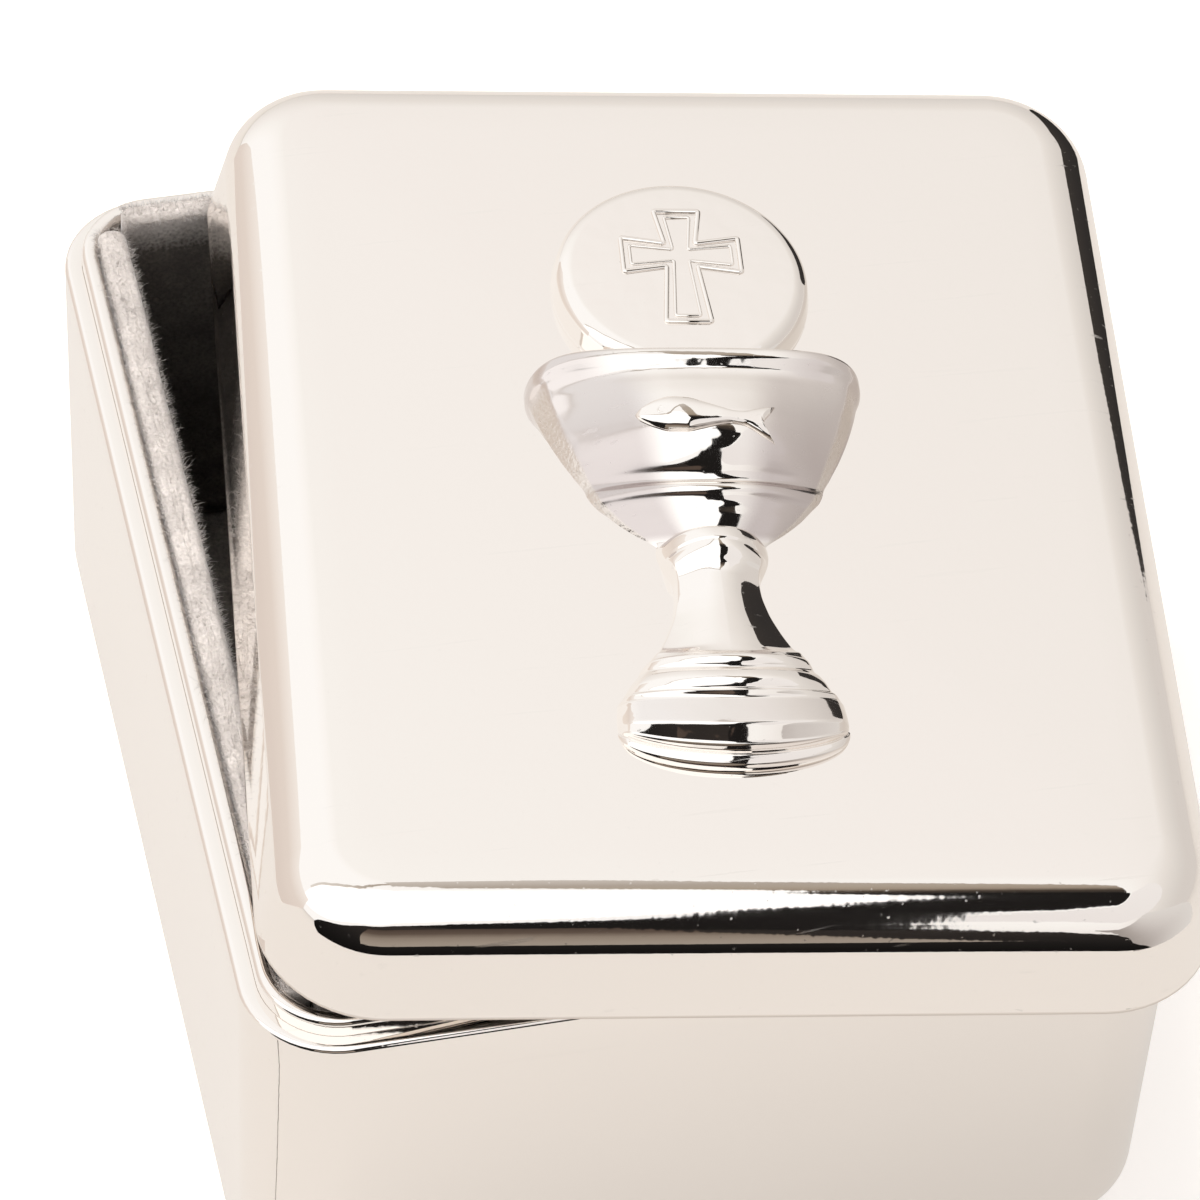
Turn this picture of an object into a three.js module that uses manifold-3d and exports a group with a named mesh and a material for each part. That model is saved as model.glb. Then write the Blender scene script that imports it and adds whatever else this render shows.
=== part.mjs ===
// A lined metal keepsake box with a lift-off lid that carries a cast chalice ornament.
// Millimetres, +Z up. The origin is the middle of the flat base. +Y points away from the front.
// The lid is modelled where it lies at rest: laid askew on the box, turned, tilted and shifted.

import * as THREE from 'three';
import * as BufferGeometryUtils from 'three/addons/utils/BufferGeometryUtils.js';
import Module from 'manifold-3d';

const wasm = await Module();
wasm.setup();

// Clearances
const fitGap = 0.3;

// Box shell: a deep tray of sheet metal with a rounded foot and slightly tapered walls
const shellWidth = 52.3;
const shellLength = 64.3;
const shellHeight = 28;
const shellWall = 0.9;
const shellCornerRadius = 5.4;
const shellFootRadius = 3.4;
const shellTaper = 0.36;
const shellTopRound = 0.35;

// Collar: a sleeve inside the shell that stands above it and locates the lid
const collarWall = 0.75;
const collarRise = 1.15;
const collarDepth = 8;
const collarTopRound = 0.3;

// Lining: felt panels on the walls and a felt pad on the floor
const wallLiningThickness = 1.45;
const wallLiningEdgeRound = 0.4;
const sidePanelLap = 0.9;
const floorLiningThickness = 2;
const floorLiningEdgeRound = 0.5;

// Lid shell: flat top, rolled-over edge and a skirt that flares out towards its lower edge
const lidWall = 0.7;
const skirtHeight = 4.4;
const skirtFlare = 0.77;
const lidTopRadius = 2.7;
const lidCornerRadius = 6.7;
const skirtEdgeRound = 0.3;
const lidOversize = -0.3;
const lidLiningThickness = 1.2;
const lidLiningEdgeRound = 0.3;

// The lid's resting place on the box, in degrees and millimetres
const lidTurn = -7.7;
const lidTiltAcross = 1.75;
const lidTiltAlong = 2.95;
const lidShiftX = 4.35;
const lidShiftY = -2.6;

// Chalice ornament: one casting in half relief, a cup with a wafer rising behind it
const cupLength = 24.4;
const cupHalfWidth = 9.45;
const cupRelief = 3.95;
const cupBow = 1.4;
const cupLipY = 6.4;
const ornamentShiftX = -0.25;
const waferRadius = 7.35;
const waferThickness = 1.9;
const waferEdgeRound = 0.8;
const waferLap = 0.25;
const fishLength = 7.9;
const fishDepth = 2.3;
const fishRelief = 0.35;
const fishDropShare = 0.21;

// Fineness of the curves
const cornerSteps = 6;
const roundSteps = 5;
const sectionSteps = 18;
const waferSteps = 36;
const restSamples = 48;

// Derived sizes
const collarInset = shellWall + fitGap;
const collarTop = shellHeight + collarRise;
const collarBottom = shellHeight - collarDepth;
const liningInset = collarInset + collarWall + shellTaperAt(collarBottom) + fitGap;
const lidWidth = shellWidth + lidOversize;
const lidLength = shellLength + lidOversize;
const lidHeight = skirtHeight + lidTopRadius;
const floorLiningBottom = innerFootHeight(liningInset) + fitGap;
const floorLiningTop = floorLiningBottom + floorLiningThickness;

// The chalice's outline from the lip of the cup to the edge of the foot. Each station gives
// its place along the length, its half width, its crest height and the bow of its section
// towards the foot, all as shares, and how boxy the section is.
const stationShares = [
  { along: 0, width: 0.965, height: 0.9, bow: 0, boxiness: 4 },
  { along: 0.012, width: 0.99, height: 0.965, bow: 0, boxiness: 4 },
  { along: 0.028, width: 1, height: 1, bow: 0, boxiness: 4 },
  { along: 0.046, width: 0.985, height: 0.96, bow: 0, boxiness: 4 },
  { along: 0.058, width: 0.945, height: 0.87, bow: 0.02, boxiness: 3.4 },
  { along: 0.1, width: 0.925, height: 0.87, bow: 0.06, boxiness: 2.9 },
  { along: 0.16, width: 0.885, height: 0.89, bow: 0.14, boxiness: 2.6 },
  { along: 0.23, width: 0.82, height: 0.88, bow: 0.28, boxiness: 2.4 },
  { along: 0.295, width: 0.735, height: 0.84, bow: 0.42, boxiness: 2.3 },
  { along: 0.325, width: 0.69, height: 0.81, bow: 0.5, boxiness: 2.3 },
  { along: 0.338, width: 0.69, height: 0.85, bow: 0.52, boxiness: 2.3 },
  { along: 0.352, width: 0.665, height: 0.82, bow: 0.5, boxiness: 2.3 },
  { along: 0.366, width: 0.63, height: 0.74, bow: 0.48, boxiness: 2.2 },
  { along: 0.41, width: 0.53, height: 0.66, bow: 0.4, boxiness: 2.2 },
  { along: 0.455, width: 0.42, height: 0.55, bow: 0.26, boxiness: 2.1 },
  { along: 0.485, width: 0.33, height: 0.47, bow: 0.1, boxiness: 2 },
  { along: 0.497, width: 0.315, height: 0.58, bow: 0, boxiness: 2 },
  { along: 0.525, width: 0.335, height: 0.71, bow: 0, boxiness: 2 },
  { along: 0.56, width: 0.32, height: 0.71, bow: 0, boxiness: 2 },
  { along: 0.592, width: 0.265, height: 0.56, bow: 0.06, boxiness: 2 },
  { along: 0.612, width: 0.25, height: 0.48, bow: 0.12, boxiness: 2 },
  { along: 0.67, width: 0.265, height: 0.5, bow: 0.3, boxiness: 2 },
  { along: 0.74, width: 0.33, height: 0.52, bow: 0.6, boxiness: 2.1 },
  { along: 0.79, width: 0.4, height: 0.56, bow: 0.82, boxiness: 2.2 },
  { along: 0.806, width: 0.44, height: 0.63, bow: 0.88, boxiness: 2.3 },
  { along: 0.83, width: 0.475, height: 0.63, bow: 0.92, boxiness: 2.3 },
  { along: 0.842, width: 0.49, height: 0.58, bow: 0.94, boxiness: 2.3 },
  { along: 0.856, width: 0.52, height: 0.66, bow: 0.96, boxiness: 2.4 },
  { along: 0.89, width: 0.6, height: 0.68, bow: 1, boxiness: 2.4 },
  { along: 0.93, width: 0.65, height: 0.62, bow: 1, boxiness: 2.4 },
  { along: 0.965, width: 0.66, height: 0.44, bow: 1, boxiness: 2.4 },
  { along: 0.985, width: 0.652, height: 0.25, bow: 1, boxiness: 2.4 },
  { along: 1, width: 0.64, height: 0.06, bow: 1, boxiness: 2.4 },
];

// The fish's half depth along its length, from the nose to the fork of the tail
const fishShares = [
  { along: 0, depth: 0.02 },
  { along: 0.1, depth: 0.5 },
  { along: 0.25, depth: 0.9 },
  { along: 0.4, depth: 1 },
  { along: 0.58, depth: 0.78 },
  { along: 0.74, depth: 0.34 },
  { along: 0.82, depth: 0.26 },
  { along: 0.93, depth: 0.62 },
  { along: 1, depth: 0.9 },
];

const silver = { color: 0xe8e1da, metalness: 1, roughness: 0.08 };
const felt = { color: 0x8d8885, metalness: 0, roughness: 0.95 };

// A level loop with straight sides and round corners, starting at the front right corner.
function roundedLoop(width, length, radius, z) {
  const corner = Math.max(radius, 0);
  const centres = [
    [1, -1, -Math.PI / 2],
    [1, 1, 0],
    [-1, 1, Math.PI / 2],
    [-1, -1, Math.PI],
  ];
  const loop = [];
  for (const [sideX, sideY, start] of centres) {
    for (let i = 0; i <= cornerSteps; i++) {
      const angle = start + ((i / cornerSteps) * Math.PI) / 2;
      const x = sideX * (width / 2 - corner) + corner * Math.cos(angle);
      const y = sideY * (length / 2 - corner) + corner * Math.sin(angle);
      loop.push(new THREE.Vector3(x, y, z));
    }
  }
  return loop;
}

// Skins a stack of loops that have the same number of points. The ends are closed with flat
// caps, or the last loop is joined to the first when the stack closes on itself.
function skinLoops(loops, closesOnItself = false) {
  const count = loops[0].length;
  const positions = [];
  const indices = [];
  for (const loop of loops) {
    for (const point of loop) {
      positions.push(point.x, point.y, point.z);
    }
  }
  const bands = closesOnItself ? loops.length : loops.length - 1;
  for (let band = 0; band < bands; band++) {
    const here = band * count;
    const next = ((band + 1) % loops.length) * count;
    for (let i = 0; i < count; i++) {
      const j = (i + 1) % count;
      indices.push(here + i, here + j, next + j);
      indices.push(here + i, next + j, next + i);
    }
  }
  if (!closesOnItself) {
    for (const [start, facesDown] of [[0, true], [(loops.length - 1) * count, false]]) {
      for (let i = 1; i < count - 1; i++) {
        const pair = facesDown ? [i + 1, i] : [i, i + 1];
        indices.push(start, start + pair[0], start + pair[1]);
      }
    }
  }
  const geometry = new THREE.BufferGeometry();
  geometry.setAttribute('position', new THREE.Float32BufferAttribute(positions, 3));
  geometry.setIndex(indices);
  return geometry;
}

// A quarter turn as pairs of shares: how far along the first side, how far along the second.
function quarterTurn() {
  const pairs = [];
  for (let i = 0; i <= roundSteps; i++) {
    const angle = ((i / roundSteps) * Math.PI) / 2;
    pairs.push([1 - Math.cos(angle), Math.sin(angle)]);
  }
  return pairs;
}

// A plate of felt: rounded upper edge, flat underside, standing on z = bottom.
function feltPlate(width, length, cornerRadius, bottom, thickness, edgeRound) {
  const loops = [roundedLoop(width, length, cornerRadius, bottom)];
  for (const [inward, upward] of quarterTurn()) {
    const inset = edgeRound * inward;
    const z = bottom + thickness - edgeRound + edgeRound * upward;
    loops.push(roundedLoop(width - 2 * inset, length - 2 * inset, cornerRadius - inset, z));
  }
  return skinLoops(loops);
}

// Outline of the shell's outer wall at a height, as how far it stands in from the top outline.
function shellTaperAt(z) {
  return shellTaper * (1 - z / shellHeight);
}

function shellLoop(inset, z) {
  return roundedLoop(
    shellWidth - 2 * inset,
    shellLength - 2 * inset,
    shellCornerRadius - inset,
    z,
  );
}

function boxShell() {
  const loops = [];
  for (const [upward, outward] of quarterTurn()) {
    const z = shellFootRadius * upward;
    loops.push(shellLoop(shellTaperAt(z) + shellFootRadius * (1 - outward), z));
  }
  for (const [inward, upward] of quarterTurn()) {
    const z = shellHeight - shellTopRound + shellTopRound * upward;
    loops.push(shellLoop(shellTopRound * inward, z));
  }
  for (const [downward, inward] of quarterTurn()) {
    const z = shellHeight - shellTopRound * downward;
    loops.push(shellLoop(shellWall - shellTopRound * (1 - inward), z));
  }
  const innerFootRadius = shellFootRadius - shellWall;
  for (const [inward, downward] of quarterTurn()) {
    const z = shellFootRadius - innerFootRadius * downward;
    loops.push(shellLoop(shellTaperAt(z) + shellWall + innerFootRadius * inward, z));
  }
  return skinLoops(loops);
}

// Height of the shell's inner surface at an inset, within the inner rounding at the foot.
function innerFootHeight(inset) {
  const radius = shellFootRadius - shellWall;
  const reach = Math.min(Math.max(radius - (inset - shellWall - shellTaper), 0), radius);
  return shellFootRadius - Math.sqrt(radius * radius - reach * reach);
}

function rimCollar() {
  const innerInset = collarInset + collarWall;
  const loops = [
    shellLoop(innerInset + shellTaperAt(collarBottom), collarBottom),
    shellLoop(collarInset + shellTaperAt(collarBottom), collarBottom),
  ];
  for (const [inward, upward] of quarterTurn()) {
    const z = collarTop - collarTopRound + collarTopRound * upward;
    loops.push(shellLoop(collarInset + collarTopRound * inward, z));
  }
  for (const [downward, inward] of quarterTurn()) {
    const z = collarTop - collarTopRound * downward;
    loops.push(shellLoop(innerInset - collarTopRound * (1 - inward), z));
  }
  return skinLoops(loops, true);
}

function floorLining() {
  return feltPlate(
    shellWidth - 2 * liningInset,
    shellLength - 2 * liningInset,
    shellCornerRadius - liningInset,
    floorLiningBottom,
    floorLiningThickness,
    floorLiningEdgeRound,
  );
}

// An upright felt panel, its thickness along X, its length along Y, standing on the floor pad.
function wallPanel(length) {
  const bottom = floorLiningTop + fitGap;
  const corner = wallLiningThickness / 2;
  const height = collarTop - bottom;
  return feltPlate(wallLiningThickness, length, corner, bottom, height, wallLiningEdgeRound);
}

const sidePanelLength = shellLength - 2 * (shellCornerRadius - sidePanelLap);
const endPanelLength = shellWidth - 2 * (liningInset + wallLiningThickness + fitGap);
const sidePanelX = shellWidth / 2 - liningInset - wallLiningThickness / 2;
const endPanelY = shellLength / 2 - liningInset - wallLiningThickness / 2;

function lidOuterLoop(inset, z) {
  return roundedLoop(
    lidWidth - 2 * inset,
    lidLength - 2 * inset,
    lidCornerRadius - inset,
    z,
  );
}

// The skirt stands in by the flare at its top, and by nothing at its lower edge.
function flareAt(z) {
  return skirtFlare * Math.min(z / skirtHeight, 1);
}

function lidShell() {
  const loops = [];
  const ceilingRadius = lidTopRadius - lidWall;
  for (const [inward, upward] of quarterTurn().reverse()) {
    const z = skirtHeight + ceilingRadius * upward;
    loops.push(lidOuterLoop(skirtFlare + lidWall + ceilingRadius * inward, z));
  }
  loops.push(lidOuterLoop(lidWall, 0));
  for (const [upward, outward] of quarterTurn()) {
    const z = skirtEdgeRound * upward;
    loops.push(lidOuterLoop(flareAt(z) + skirtEdgeRound * (1 - outward), z));
  }
  for (const [inward, upward] of quarterTurn()) {
    const z = skirtHeight + lidTopRadius * upward;
    loops.push(lidOuterLoop(skirtFlare + lidTopRadius * inward, z));
  }
  return skinLoops(loops);
}

function lidLining() {
  const inset = skirtFlare + lidTopRadius;
  const top = lidHeight - lidWall - fitGap;
  const width = lidWidth - 2 * inset;
  const length = lidLength - 2 * inset;
  const radius = lidCornerRadius - inset;
  const plate = feltPlate(width, length, radius, 0, lidLiningThickness, lidLiningEdgeRound);
  plate.rotateX(Math.PI);
  plate.translate(0, 0, top);
  return plate;
}

// One cross-section of the chalice: an arch over the lid, closed by its flat underside.
function chaliceSection(station) {
  const halfWidth = cupHalfWidth * station.width;
  const crest = cupRelief * station.height;
  const bow = cupBow * station.bow;
  const loop = [];
  for (let i = 0; i <= sectionSteps; i++) {
    const angle = (Math.PI * i) / sectionSteps;
    const across = Math.sign(Math.cos(angle)) * Math.abs(Math.cos(angle)) ** (2 / station.boxiness);
    const rise = Math.abs(Math.sin(angle)) ** (2 / station.boxiness);
    const y = cupLipY - cupLength * station.along - bow * Math.abs(Math.sin(angle));
    loop.push(new THREE.Vector3(halfWidth * across, y, crest * rise));
  }
  return loop;
}

function chalice() {
  return skinLoops(stationShares.map(chaliceSection));
}

function wafer() {
  const profile = [new THREE.Vector2(0, 0), new THREE.Vector2(waferRadius, 0)];
  for (const [inward, upward] of quarterTurn()) {
    const radius = waferRadius - waferEdgeRound * inward;
    profile.push(new THREE.Vector2(radius, waferThickness - waferEdgeRound * (1 - upward)));
  }
  profile.push(new THREE.Vector2(0, waferThickness));
  const geometry = new THREE.LatheGeometry(profile, waferSteps);
  geometry.rotateX(Math.PI / 2);
  geometry.translate(0, cupLipY + waferRadius - waferLap, 0);
  return geometry;
}

// Height of the chalice's crest at a share of its length, between the stations beside it.
function crestAt(along) {
  const after = stationShares.findIndex((station) => station.along >= along);
  const from = stationShares[after - 1];
  const to = stationShares[after];
  const blend = (along - from.along) / (to.along - from.along);
  return cupRelief * THREE.MathUtils.lerp(from.height, to.height, blend);
}

// A plain fish lying across the cup, as a flat slab that stands a little proud of the bowl.
function fish() {
  const upper = [];
  const lower = [];
  for (const { along, depth } of fishShares) {
    const x = fishLength * (along - 1 / 2);
    upper.unshift(new THREE.Vector2(x, (fishDepth / 2) * depth));
    lower.push(new THREE.Vector2(x, (-fishDepth / 2) * depth));
  }
  const outline = new THREE.Shape([...lower, ...upper]);
  const depth = crestAt(fishDropShare) + fishRelief;
  const slab = new THREE.ExtrudeGeometry(outline, { depth, bevelEnabled: false });
  slab.translate(0, cupLipY - cupLength * fishDropShare, 0);
  return slab;
}

function asSolid(geometry) {
  const bare = geometry.clone();
  bare.deleteAttribute('normal');
  bare.deleteAttribute('uv');
  const merged = BufferGeometryUtils.mergeVertices(bare);
  const mesh = new wasm.Mesh({
    numProp: 3,
    vertProperties: new Float32Array(merged.attributes.position.array),
    triVerts: new Uint32Array(merged.index.array),
  });
  return new wasm.Manifold(mesh);
}

function asGeometry(solid) {
  const mesh = solid.getMesh();
  const geometry = new THREE.BufferGeometry();
  geometry.setAttribute('position', new THREE.BufferAttribute(mesh.vertProperties, 3));
  geometry.setIndex(new THREE.BufferAttribute(mesh.triVerts, 1));
  return geometry;
}

function chaliceOrnament() {
  return asGeometry(asSolid(chalice()).add(asSolid(wafer())).add(asSolid(fish())));
}

// How far a plan point lies inside the shell's outline; negative outside it.
function insetAt(x, y) {
  const acrossX = Math.abs(x) - (shellWidth / 2 - shellCornerRadius);
  const acrossY = Math.abs(y) - (shellLength / 2 - shellCornerRadius);
  const outside = Math.hypot(Math.max(acrossX, 0), Math.max(acrossY, 0));
  return shellCornerRadius - outside - Math.min(Math.max(acrossX, acrossY), 0);
}

// The height that anything above a plan point has to clear, by what stands under it.
function heightToClear(x, y) {
  const inset = insetAt(x, y);
  const liningEnd = liningInset + wallLiningThickness + fitGap;
  if (inset < -fitGap || inset > liningEnd) {
    return 0;
  }
  return fitGap + (inset < collarInset - fitGap ? shellHeight : collarTop);
}

// Lowers the turned and tilted lid until a point of its skirt meets the collar or the shell.
function restingHeight(pose) {
  let height = 0;
  for (let level = 0; level <= restSamples; level++) {
    const z = (skirtHeight * level) / restSamples;
    for (const inset of [flareAt(z), flareAt(z) + lidWall / 2, flareAt(z) + lidWall]) {
      const loop = lidOuterLoop(inset, z);
      for (let i = 0; i < loop.length; i++) {
        const from = loop[i];
        const to = loop[(i + 1) % loop.length];
        for (let step = 0; step < restSamples; step++) {
          const point = from.clone().lerp(to, step / restSamples).applyEuler(pose);
          const needed = heightToClear(point.x + lidShiftX, point.y + lidShiftY);
          height = Math.max(height, needed - point.z);
        }
      }
    }
  }
  return height;
}

function named(name, geometry, finish) {
  const flat = geometry.index ? geometry.toNonIndexed() : geometry;
  flat.computeVertexNormals();
  const mesh = new THREE.Mesh(flat, new THREE.MeshStandardMaterial(finish));
  mesh.name = name;
  return mesh;
}

const box = new THREE.Group();
box.add(named('box_shell', boxShell(), silver));
box.add(named('rim_collar', rimCollar(), silver));
box.add(named('lining_floor', floorLining(), felt));

for (const [name, side] of [['lining_left', -1], ['lining_right', 1]]) {
  const panel = named(name, wallPanel(sidePanelLength), felt);
  panel.position.x = side * sidePanelX;
  box.add(panel);
}
for (const [name, side] of [['lining_front', -1], ['lining_back', 1]]) {
  const panel = named(name, wallPanel(endPanelLength), felt);
  panel.rotation.z = Math.PI / 2;
  panel.position.y = side * endPanelY;
  box.add(panel);
}

const lid = new THREE.Group();
lid.rotation.set(
  THREE.MathUtils.degToRad(lidTiltAcross),
  THREE.MathUtils.degToRad(lidTiltAlong),
  THREE.MathUtils.degToRad(lidTurn),
  'ZXY',
);
lid.position.set(lidShiftX, lidShiftY, restingHeight(lid.rotation));
lid.add(named('lid_shell', lidShell(), silver));
lid.add(named('lid_lining', lidLining(), felt));

const ornament = named('chalice_ornament', chaliceOrnament(), silver);
ornament.position.set(ornamentShiftX, 0, lidHeight + fitGap);
lid.add(ornament);
box.add(lid);

export default box;
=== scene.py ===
"""A small silver-plated keepsake box, lined with grey felt, with its lid laid askew on the rim.

Every shape is worked out in millimetres from the sizes named below and written to its mesh in
metres. The tray and the collar stand on the frame's own axes. The lid and what it carries are
worked out level, standing on the lid's lower edge, and then laid on the rim.
"""

import math

import bpy
import numpy as np
from mathutils import Matrix, Vector


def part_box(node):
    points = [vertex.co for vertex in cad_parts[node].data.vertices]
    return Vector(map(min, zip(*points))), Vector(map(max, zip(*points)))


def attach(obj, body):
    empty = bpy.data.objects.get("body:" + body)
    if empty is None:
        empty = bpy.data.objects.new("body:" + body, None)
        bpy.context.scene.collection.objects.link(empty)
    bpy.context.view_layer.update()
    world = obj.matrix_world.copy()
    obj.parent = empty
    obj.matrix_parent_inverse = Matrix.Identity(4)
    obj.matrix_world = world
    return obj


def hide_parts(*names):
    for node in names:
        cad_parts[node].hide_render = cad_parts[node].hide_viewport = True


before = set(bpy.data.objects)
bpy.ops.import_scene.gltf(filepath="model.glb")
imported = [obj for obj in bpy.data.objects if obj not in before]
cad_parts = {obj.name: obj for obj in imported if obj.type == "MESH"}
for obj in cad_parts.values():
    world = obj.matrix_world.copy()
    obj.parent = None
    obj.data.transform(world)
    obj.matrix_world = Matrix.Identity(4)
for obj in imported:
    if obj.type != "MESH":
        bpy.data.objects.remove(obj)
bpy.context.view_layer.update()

MM = 0.001

# The camera, fitted to the box's edges in the photograph: turned to the left of the front wall,
# tipped down and rolled, in degrees, its spot and its lens in millimetres
CAMERA_TURN = 15.715
CAMERA_FALL = 48.456
CAMERA_ROLL = 4.039
CAMERA_SPOT = (-70.456, -250.07, 317.095)
CAMERA_LENS = 206.745

# Tray and collar, in millimetres. An inset is counted inwards from the tray's top outline.
TRAY_HALF_WIDTH = 26.15
TRAY_HALF_LENGTH = 32.15
TRAY_HEIGHT = 28.0
TRAY_WALL = 1.01
TRAY_CORNER = 5.4
TRAY_FOOT = 3.4
TRAY_TAPER = 0.36
TRAY_RIM_ROUND = 0.35
TRAY_RIM_INNER_ROUND = 0.04
COLLAR_INSET = 1.0
COLLAR_WALL = 0.95
COLLAR_TOP = 29.15
COLLAR_BOTTOM = 20.0
COLLAR_ROUND = 0.36

# Felt: a floor pad, four panels that stand on it round the wall, and a thin one in the lid
FELT_THICKNESS = 1.45
FELT_GAP = 0.3
FELT_INSET = 2.353
FELT_TOP_ROUND = 0.5
FELT_PANEL_CORNER = 0.7
FELT_FLOOR_BOTTOM = 1.634
FELT_FLOOR_TOP = 3.634
FELT_SIDE_HALF_LENGTH = 28.15
FELT_LID_THICKNESS = 1.2
FELT_LID_MARGIN = 0.6

# The felt's slow unevenness: length and height of its waves
FELT_WAVES = ((9.0, 0.12), (2.3, 0.04))

# Loose fibres on the panels' tops: how many to a millimetre of panel, how thick at the root,
# how far rooted in, how much lower at the rounded edge, and how long at least
FIBRES_PER_MM = 190
FIBRE_RADIUS = 0.016
FIBRE_ROOT = 0.06
FIBRE_EDGE_DROP = 0.42
FIBRE_LEAST_LENGTH = 0.08

# Lid. Its skirt flares out a little from the shoulder down to the lower edge.
LID_HALF_WIDTH = 26.0
LID_HALF_LENGTH = 32.0
LID_CORNER = 6.7
LID_WALL = 0.7
LID_HEIGHT = 7.1
LID_SKIRT = 4.4
LID_FLARE = 0.77
LID_SHOULDER = 3.41
LID_SHOULDER_LEAN = 12
LID_CROWN = 0.12
LID_EDGE_OUTER_ROUND = 0.17
LID_EDGE_INNER_ROUND = 0.3
LID_FLAT_INSET = LID_FLARE + 2.7

# How the lid lies askew on the rim: turned and tilted in degrees, shifted in millimetres
LID_TURN = -7.7
LID_TILT_ACROSS = 1.75
LID_TILT_ALONG = 2.95
LID_SHIFT = (4.35, -2.6)


def linear(hex_colour):
    """An sRGB hex value as a linear RGBA colour."""
    parts = [int(hex_colour[i : i + 2], 16) / 255 for i in (0, 2, 4)]
    return (*[c / 12.92 if c <= 0.04045 else ((c + 0.055) / 1.055) ** 2.4 for c in parts], 1.0)


# Camera


def make_camera():
    """The photograph's viewpoint, above and to the left of the front wall: the axes of a level
    camera from its turn and fall, then turned about its line of sight by the roll."""
    turn, fall, roll = (math.radians(a) for a in (CAMERA_TURN, CAMERA_FALL, CAMERA_ROLL))
    ahead = math.cos(fall)
    forward = Vector((math.sin(turn) * ahead, math.cos(turn) * ahead, -math.sin(fall)))
    level = Vector((math.cos(turn), -math.sin(turn), 0))
    upright = level.cross(forward)
    right = level * math.cos(roll) + upright * math.sin(roll)
    up = upright * math.cos(roll) - level * math.sin(roll)
    data = bpy.data.cameras.new("camera")
    data.lens = CAMERA_LENS
    data.sensor_width = 36
    data.clip_start = 0.01
    data.clip_end = 10
    camera = bpy.data.objects.new("camera", data)
    pose = Matrix((right, up, -forward)).transposed().to_4x4()
    camera.matrix_world = Matrix.Translation(Vector(CAMERA_SPOT) * MM) @ pose
    bpy.context.scene.collection.objects.link(camera)
    bpy.context.scene.camera = camera


make_camera()

# Surfaces


def round_rectangle(half_width, half_length, radius, corner_steps=14, side_steps=12):
    """Rings of points on level round-cornered rectangles, one ring for each value given.

    Each corner is a quarter circle about a centre that stands in by the radius from both sides,
    and the straight sides between them are divided evenly. Returns x and y, one row per ring.
    """
    half_width, half_length, radius = (
        np.atleast_1d(np.asarray(v, float))[:, None] for v in (half_width, half_length, radius)
    )
    signs = ((1, -1), (1, 1), (-1, 1), (-1, -1))
    turn = np.linspace(0, math.pi / 2, corner_steps + 1)[None, :]
    arcs = []
    for quarter, (sx, sy) in enumerate(signs):
        angle = turn + (quarter - 1) * math.pi / 2
        x = sx * (half_width - radius) + radius * np.cos(angle)
        y = sy * (half_length - radius) + radius * np.sin(angle)
        arcs.append((x, y))
    xs, ys = [], []
    between = (np.arange(1, side_steps) / side_steps)[None, :]
    for quarter, (x, y) in enumerate(arcs):
        next_x, next_y = arcs[(quarter + 1) % 4]
        xs += [x, x[:, -1:] + (next_x[:, :1] - x[:, -1:]) * between]
        ys += [y, y[:, -1:] + (next_y[:, :1] - y[:, -1:]) * between]
    return np.concatenate(xs, axis=1), np.concatenate(ys, axis=1)


def inset_rings(half_width, half_length, radius, profile, smallest=0.35):
    """A profile of (inset, height) pairs carried round a round-cornered rectangle.

    Each pair becomes a ring that stands in from the outline by the inset, its corners following.
    """
    inset, height = np.asarray(profile, float).T
    corner = np.maximum(radius - inset, smallest)
    x, y = round_rectangle(half_width - inset, half_length - inset, corner)
    return np.stack([x, y, np.broadcast_to(height[:, None], x.shape)], axis=2)


def closing_rings(ring, rise, steps=14):
    """Rings that draw a flat panel in to its middle, with a rise that grows with 1 - t squared."""
    t = np.linspace(1, 0, steps + 1)[1:-1]
    rings = ring[None, :, :] * np.stack([t, t, np.ones_like(t)], axis=1)[:, None, :]
    rings[:, :, 2] += (rise * (1 - t**2))[:, None]
    return rings


def full_turn(count):
    """Angles spaced evenly round a full turn."""
    return np.arange(count) * 2 * math.pi / count


def arc(centre, radius, start, end, steps):
    """Points of a circular arc in a profile, angles in degrees from the profile's first axis."""
    angle = np.radians(np.linspace(start, end, steps + 1))
    return radius * np.stack([np.cos(angle), np.sin(angle)], axis=1) + centre


def grid_faces(rows, columns, wrap_rows, wrap_columns):
    """Quads between neighbouring rows and columns of a grid of points."""
    r = np.arange(rows if wrap_rows else rows - 1)
    c = np.arange(columns if wrap_columns else columns - 1)
    a = r[:, None] * columns + c[None, :]
    b = r[:, None] * columns + ((c + 1) % columns)[None, :]
    d = ((r + 1) % rows)[:, None] * columns + c[None, :]
    e = ((r + 1) % rows)[:, None] * columns + ((c + 1) % columns)[None, :]
    return np.stack([a, b, e, d], axis=2).reshape(-1, 4)


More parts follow.
